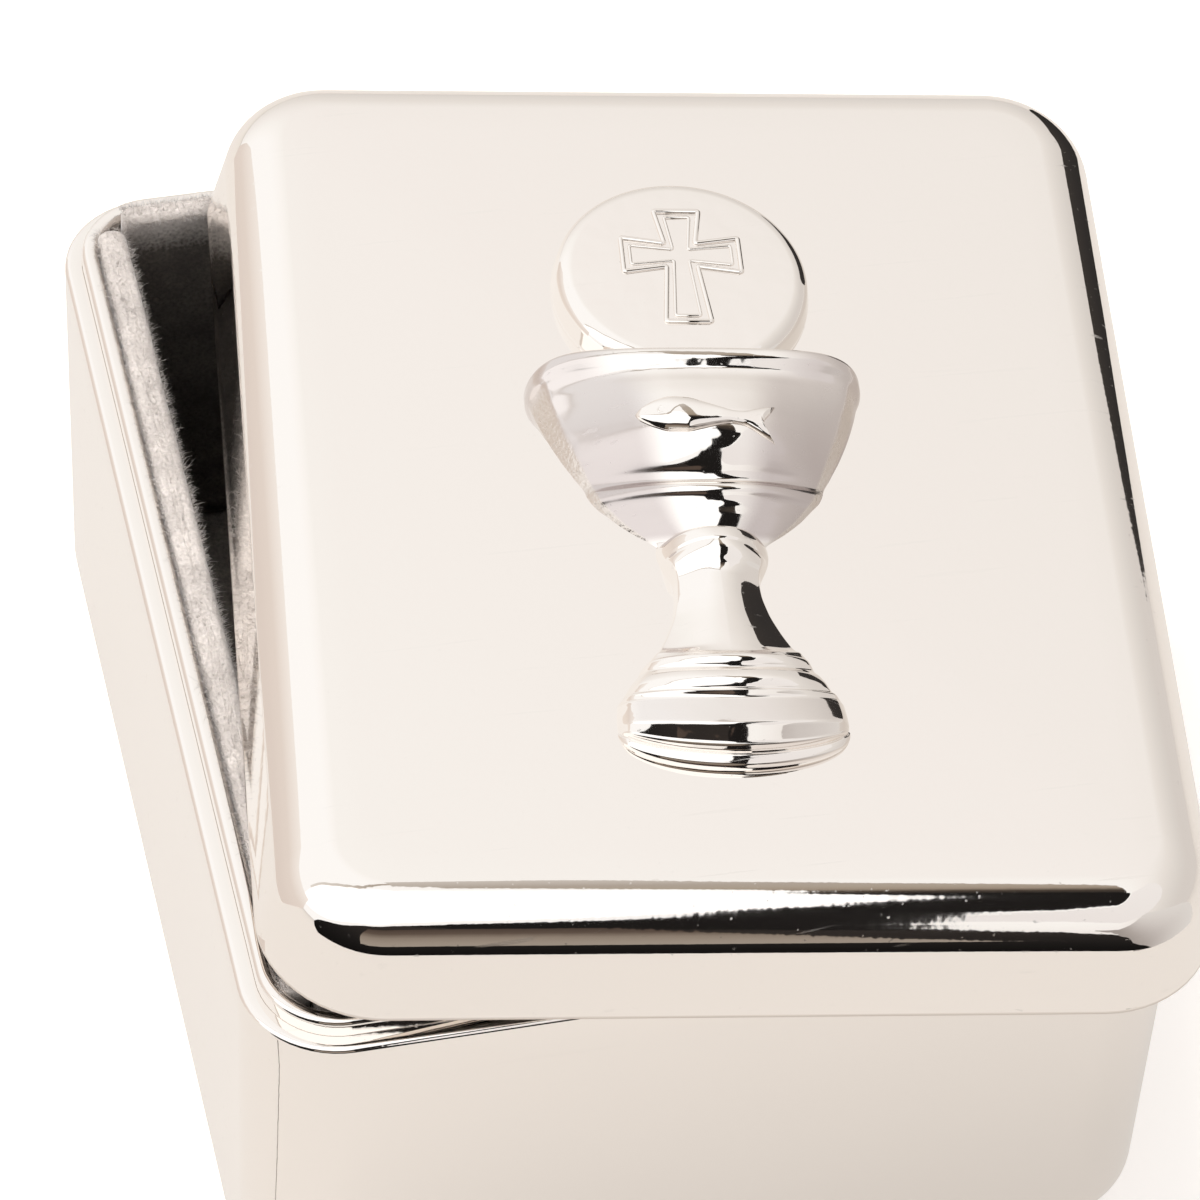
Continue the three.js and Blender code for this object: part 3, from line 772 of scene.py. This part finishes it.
def bead(name, outline, z, width, height, place, sides=8):
    """A raised half-round bead along a closed outline that lies level at z."""
    ahead = np.roll(outline, -1, axis=0) - np.roll(outline, 1, axis=0)
    ahead /= np.linalg.norm(ahead, axis=1, keepdims=True)
    normal = np.stack([ahead[:, 1], -ahead[:, 0]], axis=1)
    angle = full_turn(sides)
    across = (width / 2 * np.cos(angle))[None, :, None]
    plan = outline[:, None, :] + normal[:, None, :] * across
    level = np.asarray(z, float).reshape(-1, 1) + height * np.sin(angle)[None, :]
    rings = np.concatenate([plan, np.broadcast_to(level, plan.shape[:2])[:, :, None]], axis=2)
    return skin(name, rings, place, wrap_rows=True)


def cross_outline(arm, tall, low, wide, flare):
    """The outline of a Latin cross whose arms widen a little towards their ends."""
    a, f = arm / 2, arm / 2 + flare
    bar = tall - wide
    right = [(f, tall), (a, bar + a), (wide, bar + f), (wide, bar - f), (a, bar - a), (f, -low)]
    left = [(-x, y) for x, y in reversed(right)]
    return np.array(right + left)


def make_cross():
    """The relief on the wafer: a cross drawn by a bead round its outline and a finer one inside."""
    beads = []
    face = LID_HEIGHT + WAFER_FACE + 0.05
    for name, arm, tall, low, wide, flare, width, height in (
        # The arms' width, reach up, down and aside, their flare, the bead's width and height
        ("cross_outline", 1.75, 4.35, 4.05, 3.35, 0.42, 0.34, 0.16),
        ("cross_inner", 0.85, 3.9, 3.6, 2.9, 0.30, 0.22, 0.10),
    ):
        corners = cross_outline(arm, tall, low, wide, flare) + [CUP_SHIFT_X, WAFER_Y + 0.25]
        beads.append(bead(name, round_corners(corners, 0.16), face, width, height, LID_PLACE))
    return beads


# The fish by stations along it, in millimetres
FISH = np.array(
    [
        # Distance from the nose, upper edge, lower edge
        (0.00, 0.02, -0.02),
        (0.15, 0.26, -0.24),
        (0.50, 0.52, -0.50),
        (1.10, 0.86, -0.80),
        (1.90, 1.08, -1.02),
        (2.80, 1.05, -1.02),
        (3.70, 0.80, -0.82),
        (4.60, 0.52, -0.56),
        (5.40, 0.36, -0.40),
        (6.00, 0.42, -0.42),
        (6.60, 0.66, -0.62),
        (7.20, 0.92, -0.86),
        (7.80, 1.10, -1.05),
    ]
)

# How far the fish's back stands over the bowl, by distance from the nose
FISH_BACK = np.array([(0, 0.12), (0.4, 0.36), (2.0, 0.55), (4.5, 0.40), (6.0, 0.30), (7.8, 0.34)])

# The fish's middle over the lid's middle, its tilt in degrees, where its tail forks and how deep,
# how far its edge is sunk into the bowl and how far its underside lies in it
FISH_Y = 1.35
FISH_TILT = -4
FISH_FORK_FROM = 6.2
FISH_FORK_DEPTH = 0.85
FISH_SINK = 0.03
FISH_UNDERSIDE = 0.35

# The eye's middle and radius, and how far its ring lies over the bowl
EYE_SPOT = (-2.55, 1.50)
EYE_RADIUS = 0.17
EYE_RISE = 0.42


def make_fish():
    """The fish on the bowl: a lens between its upper and lower edges, standing proud of the
    bowl by a share that falls off across it like the square root of 1 - s to the fourth, with
    the tail's end drawn in to a fork."""
    length = FISH[-1, 0]
    along = np.linspace(0, length, 90)[:, None]
    upper, lower = (smooth_track(along, FISH[:, 0], FISH[:, i]) for i in (1, 2))
    s = np.linspace(-1, 1, 33)[None, :]
    y = (upper + lower) / 2 + (upper - lower) / 2 * s
    fork = np.clip((along - FISH_FORK_FROM) / (length - FISH_FORK_FROM), 0, 1) ** 2
    x = along - FISH_FORK_DEPTH * fork * (1 - np.abs(s) ** 1.5) - length / 2
    tilt = math.radians(FISH_TILT)
    plan_x = x * math.cos(tilt) - y * math.sin(tilt)
    plan_y = x * math.sin(tilt) + y * math.cos(tilt) + FISH_Y
    back = smooth_track(along, *FISH_BACK.T) * np.sqrt(np.clip(1 - s**4, 0, 1))
    bowl = cup_height(plan_x, plan_y)
    over = np.stack([plan_x, plan_y, bowl + back - FISH_SINK], axis=2)
    under = np.stack([plan_x, plan_y, bowl - back - FISH_UNDERSIDE], axis=2)[:, -2:0:-1]
    rings = np.concatenate([over, under], axis=1) + [CUP_SHIFT_X, 0, LID_HEIGHT]
    return skin("chalice_fish", rings, LID_PLACE)


def make_eye():
    """The fish's eye: a tiny raised ring."""
    angle = full_turn(24)
    outline = EYE_RADIUS * np.stack([np.cos(angle), np.sin(angle)], axis=1) + EYE_SPOT
    z = cup_height(*outline.T) + EYE_RISE + LID_HEIGHT
    return bead("fish_eye", outline + [CUP_SHIFT_X, 0], z, 0.12, 0.08, LID_PLACE, 6)


ornament = [make_cup(), make_wafer(), *make_cross(), make_fish(), make_eye()]
for piece in ornament:
    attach(piece, "lid")
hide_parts("chalice_ornament")

# Materials

# Silver's own colour, faintly warm
SILVER = "F7F2ED"


def add(tree, kind, inputs=None, **settings):
    """Adds a shader node of a kind. Settings are its own properties. Inputs are for its sockets,
    by name or index: a value, an output socket to link, or a node whose first output is linked."""
    node = tree.nodes.new("ShaderNode" + kind)
    for key, value in settings.items():
        setattr(node, key, value)
    for key, value in (inputs or {}).items():
        if isinstance(value, bpy.types.Node):
            value = value.outputs[0]
        if isinstance(value, bpy.types.NodeSocket):
            tree.links.new(value, node.inputs[key])
        else:
            node.inputs[key].default_value = value
    return node


def set_ramp(node, stops):
    """Sets a colour ramp's stops from (position, hex colour) pairs."""
    ramp = node.color_ramp
    while len(ramp.elements) < len(stops):
        ramp.elements.new(1.0)
    for element, (position, hex_colour) in zip(ramp.elements, stops):
        element.position = position
        element.color = linear(hex_colour)


def empty_tree(owner):
    """The node tree of a material or a world, switched on and emptied."""
    owner.use_nodes = True
    owner.node_tree.nodes.clear()
    return owner.node_tree


def silver_surface(tree, waviness):
    """Roughness and normal of polished plate: a mirror, slowly wavy from the stamping or casting
    under it, with a fine ripple from the plating bath, hairline scratches and specks."""
    place = add(tree, "TexCoord").outputs["Object"]
    # Real specks and hairlines are a few hundredths of a millimetre wide and wouldn't show.
    # The specks are drawn 0.35 mm apart, and the hairlines 17 mm long and 0.4 to 0.7 mm apart.
    specks = add(tree, "TexNoise", {"Vector": place, "Scale": 1 / (0.35 * MM), "Detail": 2.0})
    dots = add(tree, "MapRange", {0: specks, 1: 0.7, 2: 0.74, 3: 0.0, 4: 1.0})
    hairline = [1 / (size * MM) for size in (16.67, 0.3846, 0.7143)]
    stretch = add(
        tree, "Mapping", {"Vector": place, "Rotation": (0.4, 0.2, 0.9), "Scale": hairline}
    )
    hairs = add(tree, "TexNoise", {"Vector": stretch, "Scale": 1.0, "Detail": 1.0})
    lines = add(tree, "MapRange", {0: hairs, 1: 0.7, 2: 0.74, 3: 0.0, 4: 1.0})
    marks = add(tree, "Math", {0: dots, 1: lines}, operation="MAXIMUM")
    rough = add(tree, "MapRange", {0: marks, 1: 0.0, 2: 1.0, 3: 0.035, 4: 0.2})
    slow = add(tree, "TexNoise", {"Vector": place, "Scale": 1 / (7 * MM), "Detail": 1.0})
    wave = add(tree, "Bump", {"Strength": waviness, "Distance": 0.02 * MM, "Height": slow})
    fine = add(tree, "TexNoise", {"Vector": place, "Scale": 1 / (0.6 * MM), "Detail": 1.0})
    ripple = add(
        tree, "Bump", {"Strength": 0.5, "Distance": 0.0035 * MM, "Height": fine, "Normal": wave}
    )
    return rough, ripple


def polished_silver_plate():
    """Bright silver plate over polished sheet metal: a mirror with a faint warm tint, and painted
    shade along the lid's rolled lower edge: greyer where it turns under, for the shadow in the gap
    below."""
    material = bpy.data.materials.new("polished_silver_plate")
    tree = empty_tree(material)
    rough, normal = silver_surface(tree, 0.25)
    shaded_hem = add(tree, "Attribute", attribute_name="shaded_hem").outputs["Fac"]
    # Painted shade: the lid's rolled lower edge is tinted greyer
    tints = {0: shaded_hem, 6: linear(SILVER), 7: linear("D5CBC3")}
    tint = add(tree, "Mix", tints, data_type="RGBA").outputs[2]
    shader = add(
        tree,
        "BsdfPrincipled",
        {"Base Color": tint, "Metallic": 1.0, "Roughness": rough, "Normal": normal},
    )
    add(tree, "OutputMaterial", {"Surface": shader})
    return material


def cast_silver_plate():
    """Silver plate on a casting: bright where it was buffed, duller and greyer on the flanks that
    the buff didn't reach, coarse on the side faces, its mirror a little wavy all over."""
    material = bpy.data.materials.new("cast_silver_plate")
    tree = empty_tree(material)
    rough, normal = silver_surface(tree, 0.5)
    dull = add(tree, "Attribute", attribute_name="dull").outputs["Fac"]
    coarse = add(tree, "Attribute", attribute_name="coarse").outputs["Fac"]
    tints = {0: dull, 6: linear(SILVER), 7: linear("CEC5C2")}
    tint = add(tree, "Mix", tints, data_type="RGBA").outputs[2]
    tints = {0: coarse, 6: tint, 7: linear("DDD4CC")}
    tint = add(tree, "Mix", tints, data_type="RGBA").outputs[2]
    rough = add(tree, "Math", {0: dull, 1: 0.16, 2: rough}, operation="MULTIPLY_ADD")
    rough = add(tree, "Math", {0: coarse, 1: 0.1, 2: rough}, operation="MULTIPLY_ADD")
    # The casting's skin: slow ripples about 2 mm long. The sand's grain is about 0.1 mm and
    # wouldn't show, so it is drawn 0.28 mm wide.
    place = add(tree, "TexCoord").outputs["Object"]
    slow = add(tree, "TexNoise", {"Vector": place, "Scale": 1 / (2.0 * MM), "Detail": 1.5})
    grain = add(tree, "TexNoise", {"Vector": place, "Scale": 1 / (0.28 * MM), "Detail": 3.0})
    wavy = add(
        tree, "Bump", {"Strength": 0.6, "Distance": 0.05 * MM, "Height": slow, "Normal": normal}
    )
    cast = add(
        tree, "Bump", {"Strength": coarse, "Distance": 0.09 * MM, "Height": grain, "Normal": wavy}
    )
    shader = add(
        tree,
        "BsdfPrincipled",
        {"Base Color": tint, "Metallic": 1.0, "Roughness": rough, "Normal": cast},
    )
    add(tree, "OutputMaterial", {"Surface": shader})
    return material


def grey_wool_felt():
    """Short-napped pressed wool felt, matt and fibrous, with painted light and shade by height:
    painted shade lower down, where the lining lies deep under the lid, and a pale painted light
    band with painted sheen along the tops, where the light falls, 4 mm deeper on the left panel,
    which the light reaches through the gap."""
    material = bpy.data.materials.new("grey_wool_felt")
    tree = empty_tree(material)
    place = add(tree, "TexCoord").outputs["Object"]
    # Wool fibres are about 0.02 mm thick and wouldn't show: their tufts are drawn 0.22 mm wide.
    nap = add(tree, "TexNoise", {"Vector": place, "Scale": 1 / (0.22 * MM), "Detail": 4.0})
    patch = add(tree, "TexNoise", {"Vector": place, "Scale": 1 / (3 * MM), "Detail": 2.0})
    tone = add(tree, "Math", {0: nap, 1: patch}, operation="MULTIPLY")
    # Painted shade and painted light: a shaded tone of the felt for the faces deep in the box, a
    # lit tone for the tops
    dark = add(tree, "ValToRGB", {0: tone})
    set_ramp(dark, ((0.12, "58514B"), (0.42, "7C736B")))
    pale = add(tree, "ValToRGB", {0: tone})
    set_ramp(pale, ((0.12, "BAB1AB"), (0.42, "E0D7D0")))
    # The painted light band at the top, frayed by the nap, over the last 1.7 mm of height, and 4 mm
    # lower at the left, where more light falls
    spot = add(tree, "SeparateXYZ", {0: place})
    left = {0: spot.outputs["X"], 1: (0.6 - FELT_SIDE_X) * MM}
    left = add(tree, "Math", left, operation="LESS_THAN")
    height = {0: left, 1: 4 * MM, 2: spot.outputs["Z"]}
    height = add(tree, "Math", height, operation="MULTIPLY_ADD")
    ragged_light_height = add(tree, "Math", {0: nap, 1: 1.6 * MM, 2: height}, operation="MULTIPLY_ADD")
    low, high = (COLLAR_TOP - 1.0) * MM, (COLLAR_TOP + 0.7) * MM
    edge = add(tree, "MapRange", {0: ragged_light_height, 1: low, 2: high, 3: 0.0, 4: 1.0})
    # Painted light and shade: the lit tone over the band, the shaded tone below it, and painted
    # sheen on the band
    tint = add(tree, "Mix", {0: edge, 6: dark, 7: pale}, data_type="RGBA").outputs[2]
    sheen = add(tree, "MapRange", {0: edge, 1: 0.0, 2: 1.0, 3: 0.05, 4: 0.6})
    tufts = add(tree, "Bump", {"Strength": 0.8, "Distance": 0.12 * MM, "Height": nap})
    shader = add(
        tree,
        "BsdfPrincipled",
        {
            "Base Color": tint,
            "Roughness": 0.95,
            "Sheen Weight": sheen,
            "Sheen Roughness": 0.4,
            "Normal": tufts,
        },
    )
    add(tree, "OutputMaterial", {"Surface": shader})
    return material


plate = polished_silver_plate()
cast_plate = cast_silver_plate()
felt = grey_wool_felt()
for piece in (tray, collar, lid):
    piece.data.materials.append(plate)
for piece in ornament:
    piece.data.materials.append(cast_plate)
for piece in felt_pieces:
    piece.data.materials.append(felt)

# Studio

# The floor's radius, how far under the tray its top and its underside lie, and how far away a
# card usually hangs, in millimetres
FLOOR_RADIUS = 1500
FLOOR_TOP = -0.02
FLOOR_UNDERSIDE = -5.0
CARD_REACH = 900


def make_floor():
    """A wide pale floor just under the tray, a disc of matt white card. The lens sees it lifted
    towards the room's white, and the silver mirrors a greyer one with a soft glow of its own."""
    angle = full_turn(96)
    ring = FLOOR_RADIUS * np.stack([np.cos(angle), np.sin(angle), 0 * angle], axis=1)
    floor = skin("floor", np.stack([ring + [0, 0, z] for z in (FLOOR_UNDERSIDE, FLOOR_TOP)]))
    flat = np.zeros(len(floor.data.polygons), bool)
    floor.data.polygons.foreach_set("use_smooth", flat)
    material = bpy.data.materials.new("matt_white_card")
    tree = empty_tree(material)
    path = add(tree, "LightPath").outputs
    seen = add(tree, "Math", {0: path["Is Camera Ray"], 1: 0.42}, operation="MULTIPLY")
    matt = add(tree, "BsdfDiffuse", {"Color": linear("EEE7E1")})
    lift = add(tree, "Emission", {"Color": linear("FFFFFF"), "Strength": seen})
    direct = add(tree, "AddShader", {0: matt, 1: lift})
    greyer = add(tree, "BsdfDiffuse", {"Color": linear("8A8682")})
    glow = add(tree, "Emission", {"Color": linear("DAD5D0"), "Strength": 0.78})
    mirrored = add(tree, "AddShader", {0: greyer, 1: glow})
    both = add(tree, "MixShader", {0: path["Is Glossy Ray"], 1: direct, 2: mirrored})
    add(tree, "OutputMaterial", {"Surface": both})
    floor.data.materials.append(material)


make_floor()


def make_world():
    """A pale room, brighter overhead and to the left, greyer low on the right, as the silver
    sees it. The lens sees plain white, and the matt pieces are lit by an even, lower white."""
    world = bpy.data.worlds.new("pale_room")
    bpy.context.scene.world = world
    tree = empty_tree(world)
    path = add(tree, "LightPath").outputs
    direction = add(tree, "TexCoord").outputs["Generated"]
    brighter_way = {0: direction, 1: (-0.6, -0.1, 0.5)}
    rise = add(tree, "VectorMath", brighter_way, operation="DOT_PRODUCT").outputs["Value"]
    share = add(tree, "Math", {0: rise, 1: 0.5}, operation="ADD")
    walls = add(tree, "ValToRGB", {0: share})
    set_ramp(
        walls,
        (
            (0.1, "D6D1CD"), (0.225, "DAD6D2"), (0.36, "E1DDD9"), (0.485, "E8E4E0"),
            (0.575, "EFECE9"), (0.665, "F5F2F0"), (0.745, "F9F8F6"), (0.82, "FDFCFB"),
            (0.9, "FFFFFF"),
        ),
    )
    even = add(tree, "Background", {"Color": linear("FFFFFF"), "Strength": 0.7})
    plain = add(tree, "Background", {"Color": linear("FFFFFF"), "Strength": 1.0})
    room = add(tree, "Background", {"Color": walls, "Strength": 1.06})
    seen = add(tree, "MixShader", {0: path["Is Glossy Ray"], 1: even, 2: room})
    to_lens = {0: path["Is Camera Ray"], 1: path["Is Transmission Ray"]}
    to_lens = add(tree, "Math", to_lens, operation="MAXIMUM")
    both = add(tree, "MixShader", {0: to_lens, 1: seen, 2: plain})
    add(tree, "OutputWorld", {"Surface": both})


make_world()


def resample(edge, count):
    """A line of (azimuth, elevation) points in degrees, evenly resampled along its length."""
    edge = np.asarray(edge, float)
    step = np.linalg.norm(np.diff(edge, axis=0), axis=1)
    along = np.concatenate([[0], np.cumsum(step)]) / step.sum()
    at = np.linspace(0, 1, count)
    return np.stack([np.interp(at, along, edge[:, i]) for i in range(2)], axis=1)


def heading(angles):
    """Unit vectors for azimuths (clockwise from +Y) and elevations in degrees."""
    turn, rise = np.radians(angles[..., 0]), np.radians(angles[..., 1])
    level = np.cos(rise)
    return np.stack([np.sin(turn) * level, np.cos(turn) * level, np.sin(rise)], axis=-1)


def card_material():
    """Paper, cloth or a lit diffuser that only the silver mirrors: its own brightness is stored
    on the card."""
    material = bpy.data.materials.new("studio_card")
    tree = empty_tree(material)
    shade = add(tree, "Attribute", attribute_name="shade")
    glow = add(tree, "Emission", {"Color": shade, "Strength": 1.0})
    add(tree, "OutputMaterial", {"Surface": glow})
    return material


CARD = card_material()


def card(
    name,
    one_edge,
    other_edge,
    tones,
    reach=CARD_REACH,
    stand=(0, 0, 33),
    strength=1.0,
    level=True,
    across=False,
):
    """A card between two edges, each a line of (azimuth, elevation) points as seen from a spot
    on the box. Between the edges it keeps to the level, or takes the shortest way. It hangs at
    its reach, or lies just over the floor where that is nearer, over the cards of a wider reach.
    Its tones are hex colours from one end of the edges to the other, or from edge to edge."""
    count = 49
    share = np.linspace(0, 1, 25)
    one, other = resample(one_edge, count), resample(other_edge, count)

    def filled(start, end):
        """Straight steps from every point of one edge to its partner on the other."""
        return start[:, None] * (1 - share)[:, None] + end[:, None] * share[:, None]

    if level:
        direction = heading(filled(one, other))
    else:
        direction = filled(heading(one), heading(other))
        direction /= np.linalg.norm(direction, axis=2, keepdims=True)
    over_floor = 0.2 + (CARD_REACH - reach) / 150
    to_floor = (stand[2] - over_floor) / np.maximum(-direction[:, :, 2], 1e-6)
    points = direction * np.minimum(reach, to_floor)[:, :, None] + stand
    piece = write_mesh(name, points, grid_faces(count, len(share), False, False))
    place = share[None, :] if across else np.linspace(0, 1, count)[:, None]
    place = np.broadcast_to(place, points.shape[:2]).ravel()
    at = np.linspace(0, 1, len(tones))
    colours = np.array([linear(tone) for tone in tones]) * [strength, strength, strength, 1]
    rgba = np.stack([np.interp(place, at, colours[:, i]) for i in range(4)], axis=1)
    shade = piece.data.color_attributes.new("shade", "FLOAT_COLOR", "POINT")
    shade.data.foreach_set("color", rgba.astype(np.float32).ravel())
    piece.data.materials.append(CARD)
    for ray in ("camera", "diffuse", "transmission", "volume_scatter", "shadow"):
        setattr(piece, "visible_" + ray, False)


def make_cards():
    """What the silver mirrors: a white overhead diffuser with a grey seam at its far side, a dark
    boom that slants across it, the dark end of the room in front with a dim brown wall in it, a
    beige wall at the left and a narrow dark panel at the right."""
    front = (4, -36, 32)
    card(
        "overhead_diffuser",
        (
            (268, 8), (255, 11), (245, 15), (233, 23), (222, 30), (212, 34), (200, 36), (186, 38),
            (177, 42), (172, 50), (165, 59), (155, 66), (145, 70), (130, 74), (110, 76.5),
        ),
        (
            (275, 10), (276, 30), (277, 45), (276, 60), (281, 73), (300, 81.5), (340, 84),
            (380, 81), (420, 78), (460, 77), (470, 76.6),
        ),
        ("FFFFFF", "FFFFFF"),
        strength=1.3,
        level=False,
    )
    card(
        "diffuser_seam",
        (
            (276, 30), (277, 45), (276, 60), (281, 73), (300, 81.5), (340, 83), (370, 79),
            (381, 74), (390, 67),
        ),
        (
            (278.5, 30), (280, 45), (281, 60), (289, 71), (306, 78.5), (345, 80), (366, 77),
            (377, 72.5), (386, 66),
        ),
        ("E6E0DA", "D6CEC6", "C4BAB0", "B8AEA4", "B4A89C"),
        880,
        level=False,
    )
    card(
        "boom_end",
        ((112, 77), (100, 77.5), (83, 77), (60, 76.5), (42, 75), (30, 71), (22, 65)),
        ((115, 68), (99, 70), (79, 71.5), (58, 70), (46, 68), (36, 65), (27, 60)),
        ("2A2725", "4C433B", "A39687", "B0A597", "B4AAA0", "CFC8C1"),
        870,
        level=False,
    )
    card(
        "boom",
        (
            (112, 77), (120, 75.5), (135, 72), (145, 69.5), (154, 66), (160, 62), (165, 58.4),
            (168.5, 54.4), (171, 50), (173.2, 45.5), (175.3, 41.6), (177.4, 38.4), (182, 34),
        ),
        (
            (113, 66), (118, 65), (136, 62), (145.5, 59.6), (155, 57), (161, 53), (166, 49.4),
            (168.5, 44.7), (170.5, 39.8), (172, 34.8), (173.4, 30.3), (174.5, 24.6), (175, 19),
        ),
        ("1E1C1B", "1E1C1B"),
        860,
        level=False,
    )
    card(
        "dark_end_of_the_room",
        (
            (174, 40), (173.4, 30), (174.6, 24), (174.5, 17), (172.8, 11.6), (169.7, 5.3),
            (165.8, 2.6), (162.5, -3), (157, -10), (148, -16), (138, -21), (130, -26),
        ),
        (
            (181, 37), (200, 34.5), (212, 32), (222, 27), (230, 21), (239, 15.5), (248, 10),
            (254, 4), (257, -2), (258, -8), (257, -13),
        ),
        ("35302D", "2E2A28", "1F1D1C", "141312"),
        840,
        front,
    )
    card(
        "dim_brown_wall",
        ((178, 30), (178, 22), (177.5, 14), (177, 6), (176, -1.5)),
        ((207, 28), (211, 20), (213, 13), (213, 6), (212, -2.5)),
        ("4E423B", "61544B", "8F8377", "9C9185", "A3998E"),
        820,
        front,
    )
    card(
        "grey_return",
        ((172, 17), (171, 8), (168, 0), (164, -9), (156, -15), (146, -26)),
        ((140, 34), (122, 20), (108, 6), (100, -6), (96, -16), (94, -26)),
        ("A19A96", "B2ABA7", "C6C0BD", "D5D0CD", "DEDAD7", "E3E0DD"),
        850,
        front,
        across=True,
    )
    card(
        "right_panel",
        ((56, 17), (58.8, 12), (60.4, 5), (60, -6), (57, -11), (48, -15)),
        ((42, 16), (38, 11), (35, 6), (31, 0), (29, -6), (28, -13)),
        ("3C3835", "343130", "302E2C"),
        830,
        (26, 10, 31),
    )
    card(
        "left_wall",
        ((268, 16), (268, 4), (268, -12), (268, -40)),
        ((326, 26), (330, 10), (330, -10), (330, -40)),
        ("FAF4EF", "E9DED6", "E4D8D0", "E2D6CD"),
        845,
        (-24, 0, 31),
    )
    card(
        "right_diffuser",
        (
            (113, 65), (118, 64), (136, 61), (145.5, 58.6), (155, 56), (161, 52), (166, 48),
            (169.5, 42), (172, 34),
        ),
        (
            (88, 58), (96, 50), (106, 42), (118, 36), (130, 33), (140, 31), (150, 30), (160, 29),
            (168, 28),
        ),
        ("F6F3F2", "F4F1F0", "F2EEED"),
        875,
        level=False,
    )
    card(
        "floor_crease",
        ((253.2, -24), (253.2, -70)),
        ((254.4, -24), (254.4, -70)),
        ("8A837C", "B8B0A8"),
        800,
        (-21.9, -27.9, 16),
    )


make_cards()


def area_lamp(name, place, aim, size, power):
    """A square soft lamp that the silver doesn't mirror. Its place, aim and size are in metres."""
    data = bpy.data.lights.new(name, "AREA")
    data.size = size
    data.energy = power
    lamp = bpy.data.objects.new(name, data)
    lamp.location = place
    lamp.rotation_euler = (Vector(aim) - Vector(place)).to_track_quat("-Z", "Y").to_euler()
    lamp.visible_glossy = False
    bpy.context.scene.collection.objects.link(lamp)


area_lamp("overhead_softbox", (-0.18, 0.12, 0.55), (0, 0, 0), 0.35, 3.0)

bpy.context.scene.view_settings.view_transform = "Standard"
